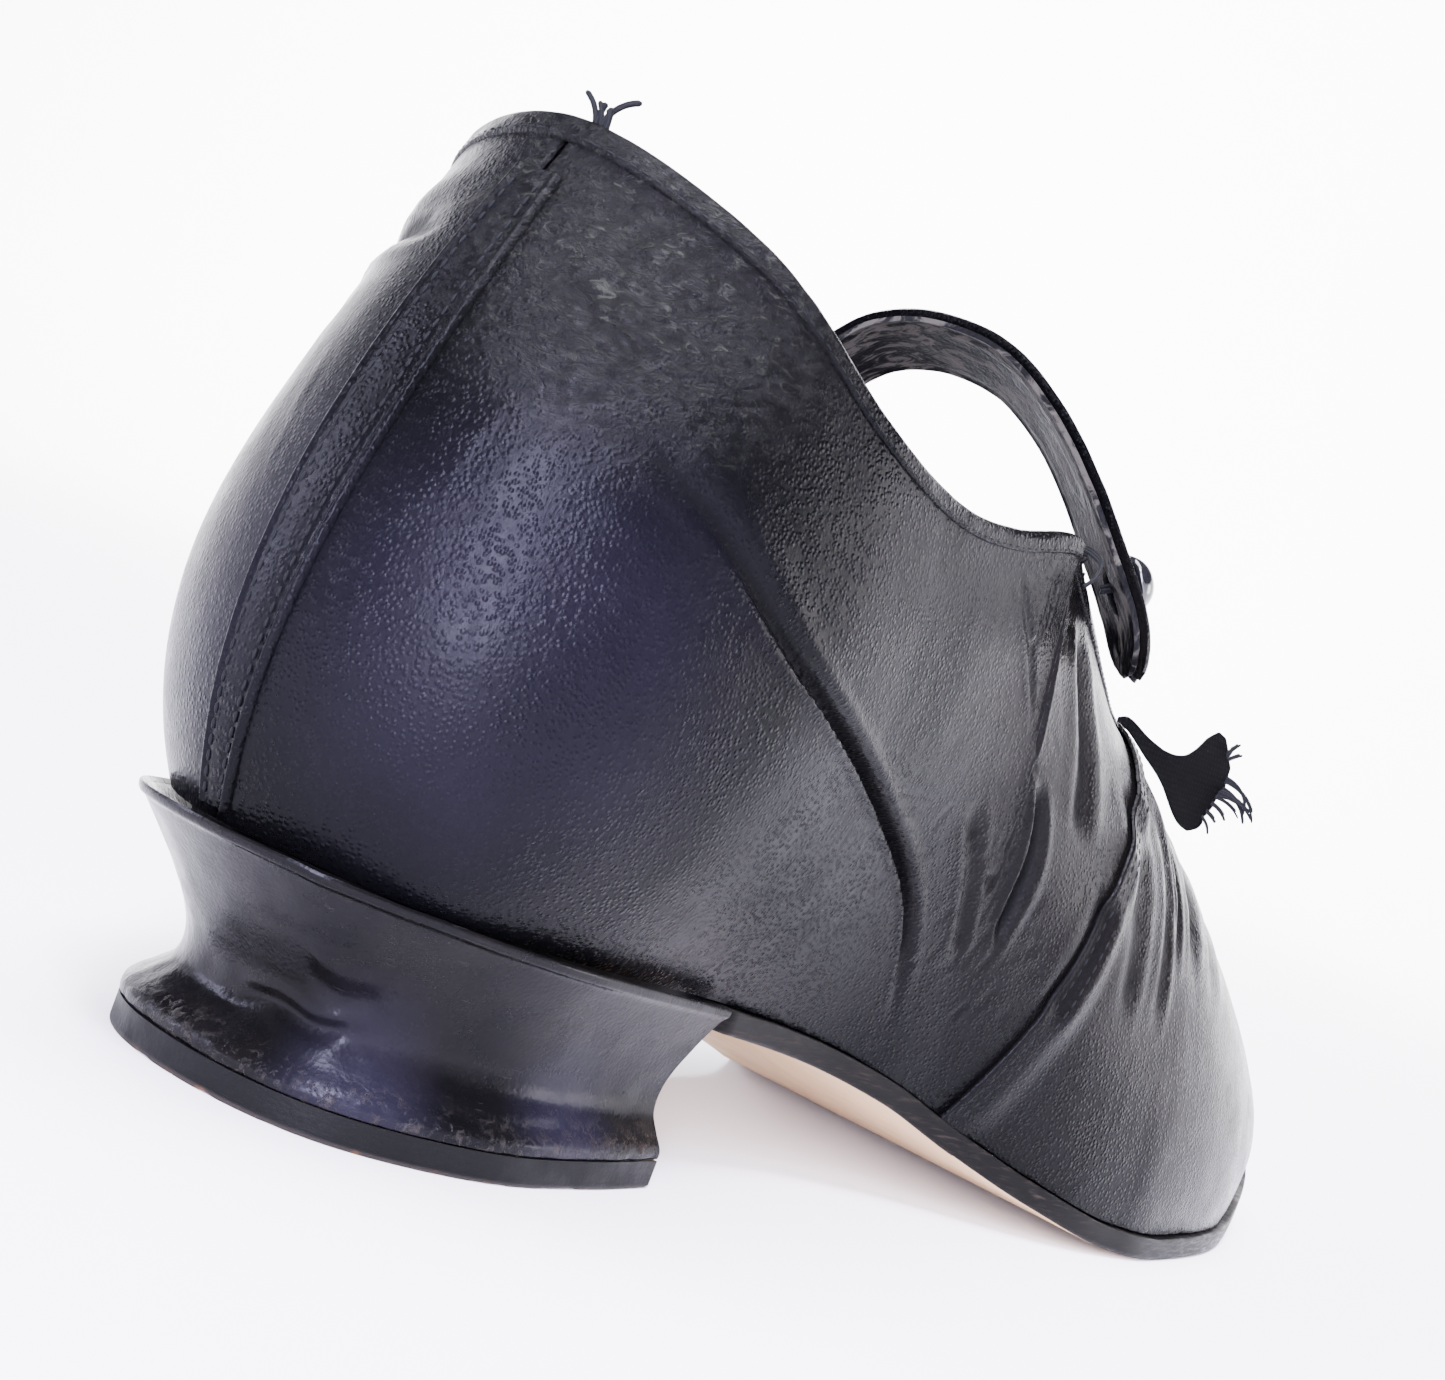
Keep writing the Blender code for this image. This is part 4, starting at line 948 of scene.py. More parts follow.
def polished_button():
    made = Finish("polished_black", Coat_Weight=0.4, Coat_Roughness=0.05)
    color = made.mix(made.ramp(made.noise(2.0, 4), 0.4, 0.7), (0.003, 0.003, 0.004), (0.007, 0.0065, 0.008))
    made.paint(color, made.ramp(made.noise(1.5, 5), 0.35, 0.7, 0.1, 0.24))
    made.bump(made.noise(1.2, 4), 0.03, 0.3)
    return made.material


def thread(name, color, shine=0.6):
    made = Finish(name, Specular_IOR_Level=0.03)
    twist = made.noise(0.22, 3, 0.5, 0.0)
    made.paint(made.mix(twist, color, tuple(2.5 * c for c in color)), shine)
    made.bump(twist, 0.05, 0.7)
    return made.material


def ribbon_cloth():
    made = Finish("ribbon_weave", Specular_IOR_Level=0.02)
    warp = made.node("ShaderNodeTexWave", "Fac", {"bands_direction": "X"}, Vector=made.place, Scale=420.0,
                     Distortion=0.6, Detail=1.0)
    weft = made.node("ShaderNodeTexWave", "Fac", {"bands_direction": "Z"}, Vector=made.place, Scale=420.0,
                     Distortion=0.6, Detail=1.0)
    weave = made.times(warp, weft)
    made.paint(made.mix(weave, (0.0008, 0.0008, 0.0009), (0.0020, 0.0020, 0.0023)), 0.75)
    made.bump(weave, 0.06, 0.7)
    return made.material

# ---------------------------------------------------------------- upper
def keep(piece, body, slot_name, *nodes):
    """Puts a piece on a body in place of the frame's nodes; slot_name is not used."""
    if nodes:
        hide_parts(*nodes)
    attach(piece, body)


VAMP_LAP = (3.5, 2.4)     # the vamp laps over the quarters by the first, less the second at mid-height
LAP_LIFT = 1.0            # how far its edge stands on the quarter's face
STITCH_ROWS = (1.5, 3.0)  # distance of the two rows of stitches from the vamp's edge


def leather_piece(name, stations, heights, material, edges, ridge=False, flip=False):
    """A worn leather panel. stations has a row of u for each column of heights; edges says which
    borders are rolled, from side 'front' (first row), 'back' (last row) and 'top' (last column)."""
    u, v = stations, np.broadcast_to(heights[None, :], stations.shape)
    base = wall(u, v)
    worn = relief(u, v)
    rise = worn
    if "front" in edges:
        reach = reach_to(base, 0, False)
        rise = rise + edges["front"](reach) - roll(reach, 0.5)
    if "back" in edges:
        reach = reach_to(base, 0, True)
        rise = rise + edges["back"](reach) - roll(reach, 0.5)
    if "top" in edges:
        reach = reach_to(base, 1, True)
        free = np.abs(((u[:, -1:] + ROUND / 2) % ROUND) - ROUND / 2) > THROAT
        rise = rise - np.where(free, roll(reach, 0.5), 0)
    points = base + wall_normal(u, v) * rise[..., None]
    margin = margin_row(u[:, 0])
    points = np.concatenate([margin[:, None], points], 1)
    worn = np.concatenate([worn[:, :1], worn], 1)
    rows, columns = points.shape[:2]
    ids = np.arange(rows * columns).reshape(rows, columns)
    if ridge:
        for i in range(rows):
            across = rows - 1 - i
            if abs(u[i, -1]) <= THROAT + 1e-6 and i < across:
                points[i, -1] = points[across, -1] = 0.5 * (points[i, -1] + points[across, -1])
                ids[across, -1] = ids[i, -1]
    return sheet_piece(name, points, UPPER - 0.2, material, flip, worn, ids)


def upper_heights():
    return crowded(0.0, 1.0, 130, at_high=0.06, edge_count=18)


def vamp_edge(v):
    """Station of the vamp's sewn edge."""
    return seam(v) + (VAMP_LAP[0] - VAMP_LAP[1] * np.sin(np.pi * v)) / STATION_LENGTH


def lap(reach):
    """The vamp's edge stands on the quarter and settles down to its own level further in."""
    return LAP_LIFT * (1 - smoothstep(3.5, 9.0, reach))


def make_vamp(material, thread_material):
    heights = upper_heights()
    edge_u = vamp_edge(heights)
    share = crowded(0.0, 1.0, 170, at_high=0.035, edge_count=14)
    throat = THROAT / edge_u[-1]
    share = np.unique(np.append(share, throat).round(6))
    share = np.concatenate([share[::-1], -share[1:]])
    stations = share[:, None] * edge_u[None, :]
    rolled = {"front": lap, "back": lap, "top": None}
    vamp = leather_piece("vamp_leather", stations, heights, material, rolled, ridge=True, flip=True)
    keep(vamp, "shoe", "black_leather", "vamp")
    rows = []
    for inner in (False, True):
        for number, inset in enumerate(STITCH_ROWS):
            v = np.linspace(0.02, 0.975, 240)
            u = vamp_edge(v) - inset / STATION_LENGTH
            u = ROUND - u if inner else u
            line = skin(u, v, LAP_LIFT)
            rows.append(stitches(f"vamp_row_{inner}_{number}", line, wall_normal(u, v), thread_material))
    keep(joined("vamp_stitching", rows), "shoe", "black_thread")


def make_quarters(material):
    heights = upper_heights()
    for side, inner in (("lateral", False), ("medial", True)):
        front = seam(heights) - 1.0 / STATION_LENGTH
        back = BACK - BACK_SEAM_GAP / STATION_LENGTH / 2
        share = crowded(0.0, 1.0, 210, at_high=0.02, edge_count=8)
        stations = front[None, :] * (1 - share[:, None]) + back * share[:, None]
        stations = ROUND - stations if inner else stations
        piece = leather_piece(f"quarter_leather_{side}", stations, heights, material,
                              {"back": lambda reach: 0.0 * reach, "top": None}, flip=inner)
        keep(piece, "shoe", "black_leather", f"quarter_{side}")


BACK_STRIP_SPAN = (0.02, 0.925)   # height of its ends on the wall
BACK_STRIP_RISE = 0.6     # how far its face stands on the quarters
BACK_STRIP_THICK = 0.7
BACK_STITCH_INSET = 1.3   # its stitches lie this far in from its sides


def make_back_strip(material, thread_material):
    across = crowded(-BACK_STRIP_HALF, BACK_STRIP_HALF, 20, at_low=0.03, at_high=0.03, edge_count=6)
    v = crowded(*BACK_STRIP_SPAN, 150, at_high=0.01, edge_count=6)
    u, v = np.broadcast_arrays(BACK + across[:, None], v[None, :])
    base = wall(u, v)
    worn = relief(u, v)
    sides = np.minimum(reach_to(base, 0, False), reach_to(base, 0, True))
    ridge = 0.25 * np.exp(-((sides - 0.75) / 0.35) ** 2) - 0.15 * np.exp(-((sides - 1.35) / 0.3) ** 2)
    rise = worn + BACK_STRIP_RISE + ridge - roll(sides, 0.55) - roll(reach_to(base, 1, True), 0.45)
    points = base + wall_normal(u, v) * rise[..., None]
    strip = sheet_piece("back_strip_leather", points, BACK_STRIP_THICK, material, False, worn)
    keep(strip, "shoe", "black_leather", "back_strip")
    rows = []
    for side in (-1, 1):
        v = np.linspace(0.03, 0.91, 260)
        u = np.full(v.shape, BACK + side * (BACK_STRIP_HALF - BACK_STITCH_INSET / STATION_LENGTH))
        rows.append(stitches(f"back_row_{side}", skin(u, v, BACK_STRIP_RISE), wall_normal(u, v),
                             thread_material, pitch=1.7, length=1.25, radius=0.21, sunk=0.0))
    keep(joined("back_strip_stitching", rows), "shoe", "black_thread")


# Section of the binding: height above the upper's edge and distance outside its face
BINDING_SECTION = [(-2.3, 0.0), (-2.15, 0.32), (-1.7, 0.42), (-0.8, 0.42), (-0.1, 0.36), (0.35, 0.05),
                   (0.6, -0.55), (0.62, -1.3), (0.5, -2.1), (0.1, -2.75), (-0.8, -3.05), (-1.8, -3.05),
                   (-2.3, -2.75)]
BINDING_THICK = 0.35
BINDING_FACE = 0.42       # the binding's outer face lies this far outside the upper's
BINDING_STITCH_DROP = 1.75    # its stitches lie this far below the upper's edge


def make_binding(material, thread_material):
    """A strip wrapped over the upper's edge, from the strap round the throat and the heel to the strap."""
    root_rear, root_front = STRAP_ROOT
    u = np.concatenate([np.linspace(root_front, ROUND - THROAT, 70)[:-1],
                        np.linspace(THROAT, root_rear, 420)])
    top = np.ones(u.shape)
    edge_line = skin(u, top)
    normal = wall_normal(u, top)
    up = unit(np.cross(np.gradient(edge_line, axis=0), normal))
    section = along(BINDING_SECTION, np.linspace(0, len(BINDING_SECTION) - 1, 34))
    rows = []
    for above, outside in section:
        if above < 0 and outside > -0.4:
            drop = 1 + above / UP_MM
            face = skin(u, np.full(u.shape, drop))
            rows.append(face + wall_normal(u, np.full(u.shape, drop)) * outside)
        else:
            rows.append(edge_line + up * above + normal * outside)
    points = np.stack(rows, 1)
    pucker = 0.05 * soft_noise(u[:, None] * AROUND_MM, np.arange(len(section))[None, :] * 0.6, 2.0, 31)
    points += normal[:, None] * pucker[..., None]
    binding = sheet_piece("topline_binding_strip", points, BINDING_THICK, material, False)
    keep(binding, "shoe", "black_leather", "topline_binding")
    v = np.full(u.shape, 1 - BINDING_STITCH_DROP / UP_MM)
    row = stitches("binding_stitching", skin(u, v, BINDING_FACE), wall_normal(u, v), thread_material,
                   pitch=1.6, length=1.05, radius=0.13)
    keep(row, "shoe", "black_thread")


def make_linings(material):
    low, high = LINING_SPAN
    heights = np.linspace(low, 1, 60)
    share = np.linspace(1, -1, 161)
    throat = THROAT / seam(1.0)
    share = np.unique(np.append(share, [throat, -throat]).round(6))[::-1]
    stations = share[:, None] * (seam(heights) - GAP / STATION_LENGTH)[None, :]
    points = lining_points(stations, heights)
    rows, columns = points.shape[:2]
    ids = np.arange(rows * columns).reshape(rows, columns)
    for i in range(rows // 2):
        across = rows - 1 - i
        if abs(stations[i, -1]) <= THROAT + 1e-6:
            points[i, -1] = points[across, -1] = 0.5 * (points[i, -1] + points[across, -1])
            ids[across, -1] = ids[i, -1]
    vamp = sheet_piece("vamp_lining_leather", points, LINING, material, True, ids=ids)
    keep(vamp, "shoe", "lining_leather", "vamp_lining")
    heights = np.linspace(low, high, 60)
    for side, inner in (("lateral", False), ("medial", True)):
        front = seam(heights) + 3 * GAP / STATION_LENGTH
        share = np.linspace(0, 1, 120)[:, None]
        stations = front[None, :] * (1 - share) + (BACK - BACK_SEAM_GAP / STATION_LENGTH) * share
        stations = ROUND - stations if inner else stations
        points = lining_points(stations, heights)
        piece = sheet_piece(f"quarter_lining_leather_{side}", points, LINING, material, inner)
        keep(piece, "shoe", "lining_leather", f"quarter_lining_{side}")


def lining_points(stations, heights):
    v = np.broadcast_to(heights[None, :], stations.shape)
    a, b = stations * AROUND_MM, v * UP_MM
    wrinkled = 0.22 * soft_noise(a, b, 13, 41) + 0.07 * soft_noise(a, b, 4, 42) - 0.2
    return layer(stations, v, lining_depth(stations, v) - np.minimum(wrinkled, 0.0))


# ---------------------------------------------------------------- bottom and heel
SOLE_ROLL = 0.7           # radius of the outsole's lower edge
SOLE_TOP_ROLL = 0.3       # and of its upper edge
INK_REACH = 0.4           # the edge ink runs this far round the lower edge


def sole_plan(stations, inset, share):
    """A plan of the sole, inset from its edge: its grid and its width at each station."""
    left, _ = edge(stations, inset)
    right, _ = edge(ROUND - stations, inset)
    return between(left, right, share), np.linalg.norm(left - right, axis=-1)[:, None]


def make_outsole(material, ink):
    stations = np.linspace(0, BACK, 260)
    share = eased(90)
    plan, width = sole_plan(stations, smoothstep(*SEAT_STEP, stations) * SEAT_INSET, share)
    toe = plan[:1, len(share) // 2:len(share) // 2 + 1]
    reach = np.minimum(share, 1 - share)[None, :] * width
    reach = np.minimum(reach, 0.9 * np.linalg.norm(plan - toe, axis=-1))
    scuffed = 0.06 * soft_noise(plan[..., 0], plan[..., 1], 9, 51) * smoothstep(1, 5, reach)
    line = sole_line(plan[..., 0])
    low = raised(plan, line + roll(reach, SOLE_ROLL) + np.maximum(scuffed, 0))
    high = raised(plan, line + SOLE - roll(reach, SOLE_TOP_ROLL))
    sole = slab_piece("outsole_leather", low, high, material, reach, pointed(plan, 0, -1))
    sole.data.materials.append(ink)
    paint_rim(sole)
    keep(sole, "shoe", "sole_leather", "outsole")


def paint_rim(piece):
    """The sole is inked black on its edge, on top and just round the edge below."""
    reach = piece.data.attributes["relief"].data
    for face in piece.data.polygons:
        if face.normal.z > -0.6 or min(reach[k].value for k in face.vertices) < INK_REACH:
            face.material_index = 1


SOCK_LEVEL = SOLE + GAP + MARGIN_LEVEL + GAP + INSOLE + GAP + SOCK
SOCK_INSET = WALL_INSET + UPPER + STIFFENER + LINING + 4 * LAYER_GAP + GAP
# Where the foot has pressed the sock: middle (x, y), reach along x and y, depth
FOOTPRINT = [(28, 0, 22, 17, 0.35), (165, -6, 28, 27, 0.3)]


def make_sock(material):
    plan, _ = sole_plan(np.linspace(0, BACK, 200), SOCK_INSET, np.linspace(0, 1, 70))
    x, y = plan[..., 0], plan[..., 1]
    height = sole_line(x) + SOCK_LEVEL + 0.12 * soft_noise(x, y, 10, 61) + 0.25
    for middle_x, middle_y, long, wide, depth in FOOTPRINT:
        height -= depth * np.exp(-((x - middle_x) / long) ** 2 - ((y - middle_y) / wide) ** 2)
    sock = sheet_piece("sock_leather", raised(plan, height), SOCK, material, ids=pointed(plan, 0, -1))
    keep(sock, "shoe", "lining_leather", "sock_lining")


HEEL_AROUND = 17.0        # leather of the cover in one place of its outline
HEEL_UP = 24.0            # and from the ground to its lip
# Creases of the cover, in millimetres of its leather: line, depth, width on either side, shoulder
HEEL_CREASES = [
    ([(57, 8.5), (66, 7.2), (75, 8.0), (84, 7.0)], 0.4, 1.2, 0.7, 0.3),
    ([(52, 12.5), (61, 11.5), (69, 12.6)], 0.35, 1.2, 1.4, 0.2),
    ([(20, 3.6), (34, 2.8), (47, 3.5)], 0.25, 0.7, 0.7, 0.12),
]
HEEL_ROUNDS = (0.4, 0.25)     # radius of the cover's lip and of its lower edge
BREAST_SLACK = 2.2        # gaps between the breast's leather and the cover's edge


def make_heel(cover_material):
    last = len(GROUND_OUTLINE) - 1
    w = crowded(0, last, 260, at_low=0.12, at_high=0.12, edge_count=6)
    t = crowded(0, 1.0, 70, at_low=0.02, at_high=0.05, edge_count=8)
    w, t = np.broadcast_arrays(w[:, None], t[None, :])
    surface = heel_surface(w, t)
    out = unit(np.cross(np.gradient(surface, axis=0), np.gradient(surface, axis=1)))
    if out[130, 30] @ (surface[130, 30] - np.array([HEEL_CENTRE_X, 0, 14])) < 0:
        out = -out
    a, b = w * HEEL_AROUND, t * HEEL_UP
    worn = 0.22 * soft_noise(a, b, 15, 71) + 0.06 * soft_noise(a, b, 4, 72)
    for points, *shape in HEEL_CREASES:
        worn += groove(a, b, refined(np.array(points)), *shape)
    top = reach_to(surface, 1, True)
    bottom = reach_to(surface, 1, False)
    worn -= 0.14 * np.clip(soft_noise(a, b, 1.6, 73), 0, 1) * (1 - smoothstep(0.5, 3.5, bottom))
    lip, foot = HEEL_ROUNDS
    rise = worn - roll(top, lip) + 0.25 * np.exp(-((top - 0.9) / 0.5) ** 2) - roll(bottom, foot)
    face = surface + out * rise[..., None]
    cover = sheet_piece("heel_cover_leather", face, COVER, cover_material, False, worn)
    keep(cover, "shoe", "heel_cover_leather", "heel_cover")

    t = np.linspace(0, SEAT_SHARE - 0.07, 50)
    left, right = (heel_surface(np.full(50, float(end)), t) for end in (0, last))
    inside = np.array([0, COVER + BREAST_SLACK * GAP, 0])
    points = between(left + inside, right - inside, np.linspace(0, 1, 80))
    points[..., 0] += 0.1 * soft_noise(points[..., 1], points[..., 2], 7, 74)
    breast = sheet_piece("heel_breast_leather", points, COVER, cover_material, False)
    keep(breast, "shoe", "heel_cover_leather", "heel_breast_cover")


TOP_ROLL = 0.4            # radius of the top piece's lower edge
NAIL_HOLE_DEPTH = 0.75


def make_top_piece(material):
    last = len(GROUND_OUTLINE) - 1
    half = np.linspace(0, last / 2, 110)
    left, right = along(GROUND_OUTLINE, half), along(GROUND_OUTLINE, last - half)
    plan = between(left, right, eased(110))
    outline = np.concatenate([left, right[::-1]])
    reach = np.linalg.norm(plan[:, :, None] - outline[None, None], axis=-1).min(-1)
    reach = np.minimum(reach, np.abs(plan[..., 0] - plan[:1, :, 0]))
    chips = np.clip(soft_noise(plan[..., 0], plan[..., 1], 2.5, 81), 0, 1)
    height = roll(reach, TOP_ROLL) + 0.25 * chips * (1 - smoothstep(0, 1.6, reach))
    for x, y in NAIL_SPOTS:
        gap = np.hypot(plan[..., 0] - x, plan[..., 1] - y)
        height += NAIL_HOLE_DEPTH * (1 - smoothstep(NAIL_RADIUS + 0.1, NAIL_RADIUS + 0.6, gap))
    high = raised(plan, np.full(height.shape, TOP_PIECE + GAP / 2))
    piece = slab_piece("top_piece_leather", raised(plan, height), high, material, reach, pointed(plan, -1))
    keep(piece, "shoe", "top_piece_leather", "top_piece")


# ---------------------------------------------------------------- strap, button, ribbon, threads
HOLE_SPAN = (7.55, 8.75)  # places along the strap where the buttonhole starts and ends
LINING_TRIM = 0.35        # the strap's lining stops this far inside its edges
STITCH_SHARE = 0.78       # the strap's stitches lie at this share of its half width
TUCK = 4.0                # the strap reaches down between quarter and lining by this much


def strap_frame(place):
    """Middle of the strap's outer face, its outward direction and the direction across it."""
    point = along(STRAP_PATH, place)
    run = unit(along(STRAP_PATH, place + 0.05) - along(STRAP_PATH, place - 0.05))
    outward = unit(np.cross(run, (1.0, 0, 0)))
    forward = np.cross(outward, run)
    turn = np.radians(np.interp(place, *STRAP_TWIST))[..., None]
    across = forward * np.cos(turn) - outward * np.sin(turn)
    return point, outward * np.cos(turn) + forward * np.sin(turn), across


def strap_surface(half_width, places, across):
    """Points across the strap; across runs -1..-0 and +0..1, parted round the buttonhole."""
    last = len(STRAP_PATH) - 1
    point, outward, wide = strap_frame(places)
    tip = np.clip((places - TAPER_START) / (last - TAPER_START), 0, 1)
    outer = half_width * np.sqrt(np.clip(1 - 0.86 * tip ** 2.2, 0.02, 1))
    start, end = HOLE_SPAN
    hole = 0.95 * np.sqrt(np.clip(1 - ((places - (start + end) / 2) / ((end - start) / 2)) ** 2, 0, 1))
    share = np.abs(across)[None, :]
    side = np.where(np.signbit(across), -1.0, 1.0)[None, :]
    x = side * (hole[:, None] * (1 - share) + outer[:, None] * share)
    reach = outer[:, None] * (1 - share)
    crown = 0.35 * (1 - (x / half_width) ** 2) - roll(reach, 0.5)
    edge_bead = 0.22 * np.exp(-((reach - 1.0) / 0.4) ** 2) - 0.18 * np.exp(-((reach - 1.75) / 0.3) ** 2)
    return point, outward, wide, x, (crown + edge_bead - 0.35), reach


def strap_sheet(name, depth, trim, thickness, material, dress):
    last = len(STRAP_PATH) - 1
    places = crowded(0.0, last, 260, at_high=0.12, edge_count=10)
    across = 1 - np.unique(np.append(np.linspace(0, 1, 16), [0.93, 0.95, 0.97, 0.985, 0.87]).round(4))
    across = np.concatenate([-across, across[::-1]])
    point, outward, wide, x, rise, _ = strap_surface(STRAP_WIDTH / 2 - trim, places, across)
    a, b = places[:, None] * 8.0 + 0 * x, x
    lift = rise * dress + 0.14 * soft_noise(a, b + 40, 6, 91) + 0.05 * soft_noise(a, b + 40, 2, 92)
    points = point[:, None] + outward[:, None] * (lift - depth)[..., None] + x[..., None] * wide[:, None]
    root = point[0] - np.array([0, 0, TUCK])
    tuck = root + outward[0] * (lift[0] - depth)[:, None] + x[0][:, None] * wide[0]
    points = np.concatenate([tuck[None], points])
    rows, columns = points.shape[:2]
    ids = np.arange(rows * columns).reshape(rows, columns)
    middle = columns // 2
    start, end = HOLE_SPAN
    closed = np.concatenate([[True], (places <= start) | (places >= end)])
    ids[closed, middle] = ids[closed, middle - 1]
    open_rows = set(np.flatnonzero(~closed))
    bridging = {frozenset(ids[i:i + 2, middle - 1:middle + 1].ravel().tolist())
                for i in range(rows - 1) if i in open_rows or i + 1 in open_rows}
    faces = [face for face in grid_faces(ids, True) if frozenset(int(k) for k in face) not in bridging]
    made = mesh_piece(name, points.reshape(-1, 3), faces, material, np.zeros(rows * columns))
    return thickened(made, thickness)


def bend(piece, slot_name, *nodes):
    if nodes:
        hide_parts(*nodes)
    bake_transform(piece)


def make_strap(leather, underside, thread_material):
    outer = strap_sheet("strap_leather", 0.0, 0.0, STRAP_THICK - 0.3, leather, 1.0)
    bend(outer, "black_leather", "strap")
    inner = strap_sheet("strap_underside_leather", STRAP_THICK + GAP * 0.3, LINING_TRIM, STRAP_LINING,
                        underside, 0.35)
    bend(inner, "lining_leather", "strap_lining")
    rows = []
    last = len(STRAP_PATH) - 1
    places = np.linspace(0.1, last - 0.35, 300)
    for side in (-1, 1):
        place_across = np.array([side * STITCH_SHARE])
        point, outward, wide, x, rise, _ = strap_surface(STRAP_WIDTH / 2, places, place_across)
        line = point + outward * rise + x * wide
        rows.append(stitches(f"strap_row_{side}", line, outward, thread_material, 1.7, 1.1, 0.13))
    start, end = HOLE_SPAN
    lap_round = np.linspace(0, 2 * np.pi, 120)
    place = (start + end) / 2 + (end - start) / 2 * 1.08 * np.cos(lap_round)
    point, outward, wide = strap_frame(place)
    line = point + outward * 0.02 + (1.55 * np.sin(lap_round))[:, None] * wide
    rows.append(stitches("hole_row", line, outward, thread_material, 0.55, 0.5, 0.14, 0.05))
    bend(joined("strap_stitching", rows), "black_thread")


# Half section of the button: radius and height above its back's plane
BUTTON_PROFILE = [(0, 3.0), (1.2, 2.85), (2.4, 2.35), (3.2, 1.6), (3.7, 0.75), (3.78, 0.35), (3.6, 0.0),
                  (3.0, -0.12), (1.4, -0.15), (0, -0.15)]
BUTTON_SIDES = 48
SHANK_STRANDS = 5
# Threads of the loose hank: how far each lifts and sways from its path, and its radius
HANK_STRANDS = [(0.0, 0.0, 0.3), (0.35, 0.3, 0.26), (-0.3, -0.35, 0.26)]
HANK_KNOTS = [(0.4, 0.2, 0.3), (-0.3, -0.3, 0.2), (0.1, 0.3, -0.4)]     # middles of its small loops


def waved(angle, x, y, z):
    """Points of a loop whose three coordinates are given as functions of the angle."""
    return np.stack([x(angle), y(angle), z(angle)], -1)


def make_button(gloss, thread_material):
    point, outward, wide = (value[0] for value in strap_frame(np.array([BUTTON_PLACE])))
    side = np.cross(outward, wide)
    profile = along(BUTTON_PROFILE, np.linspace(0, len(BUTTON_PROFILE) - 1, 40))
    profile[:, 0] = np.clip(profile[:, 0], 0, None)
    profile[0, 0] = profile[-1, 0] = 0
    turns = np.arange(BUTTON_SIDES) * 2 * np.pi / BUTTON_SIDES
    circle = np.cos(turns)[:, None] * wide + np.sin(turns)[:, None] * side
    base = point + outward * BUTTON_GAP
    rings = [base + outward * z + circle * r for r, z in profile]
    faces = grid_faces(ring_ids(len(profile), BUTTON_SIDES, 0, -1), False)
    keep(mesh_piece("button_dome", np.concatenate(rings), faces, gloss), "button", "button_gloss", "button")

    strands = []
    for turn in range(SHANK_STRANDS):
        angle = turn * 2 * np.pi / SHANK_STRANDS
        aside = 0.34 * (np.cos(angle) * wide + np.sin(angle) * side)
        low = point - outward * (STRAP_THICK + STRAP_LINING + GAP + 1.1) + aside * 1.2
        high = point + outward * (BUTTON_GAP - 0.1) + aside
        line = along([low, (low + high) / 2 + aside * 0.3, high], np.linspace(0, 2, 12))
        strands.append(tube(f"strand_{turn}", line, 0.24, thread_material))
    keep(joined("button_shank_threads", strands), "button", "black_thread", "button_shank")

    path = np.array(THREAD_PATH, float)
    wave = np.sin(np.linspace(0, np.pi, len(path)))
    strands = []
    for number, (lift, sway, radius) in enumerate(HANK_STRANDS):
        moved = path + np.stack([sway * wave, lift * 0.4 * wave, lift * wave], -1)
        line = along(moved, np.linspace(0, len(path) - 1, 60))
        strands.append(tube(f"hank_{number}", line, radius, thread_material))
    loop = np.linspace(0, 2 * np.pi, 40)
    ring = path[-1] + np.array([-0.9, -0.6, -0.9]) + waved(
        loop, lambda a: 1.0 * np.cos(a), lambda a: 0.4 * np.sin(2 * a), lambda a: 1.25 * np.sin(a))
    strands.append(tube("hank_loop", ring, 0.16, thread_material))
    for number, offset in enumerate(HANK_KNOTS):
        knot = path[-2] + np.array(offset) + waved(
            loop, lambda a: 0.7 * np.cos(a + number), lambda a: 0.55 * np.sin(a),
            lambda a: 0.6 * np.sin(a + 2 * number))
        strands.append(tube(f"hank_knot_{number}", knot, 0.2, thread_material))
    keep(joined("button_thread_strands", strands), "shoe", "black_thread", "button_thread")


def curl(start, heading, reach, turn, sway):
    """A loose thread: it leaves straight and bends round."""
    heading = np.asarray(heading, float) / np.linalg.norm(heading)
    aside = np.cross(heading, sway)
    aside /= np.linalg.norm(aside)
    angle = np.linspace(0, turn, 16)[:, None]
    step = reach / 15 * (heading * np.cos(angle) + aside * np.sin(angle))
    return np.asarray(start, float) + np.concatenate([np.zeros((1, 3)), np.cumsum(step, axis=0)])


def frayed(name, threads, radius, material):
    """Loose threads that leave a torn edge; each is (start, heading, length, turn, sway)."""
    strands = []
    for number, one in enumerate(threads):
        own_radius = radius * (1 + 0.25 * math.sin(7.0 * number))
        strands.append(tube(f"{name}_{number}", curl(*one), own_radius, material, ends=0.5, sides=6))
    return joined(name, strands)


RIBBON_THICK = 0.35
RIBBON_ROOT = (147.2, -14.6, 71.0)     # where the ribbon comes out from under the binding
RIBBON_NARROW = 0.82      # the torn scrap's half width against RIBBON_HALF
# Its torn outline: place along it, upper and lower edge as shares of its half width
RIBBON_EDGE = [(0, 1.0, -1.0), (0.25, 0.55, -1.0), (0.5, 0.5, -1.0), (0.68, 0.72, -1.02), (0.82, 1.2, -1.1),
               (0.9, 1.35, -1.1), (0.96, 1.2, -0.95), (1.0, 0.85, -0.7)]
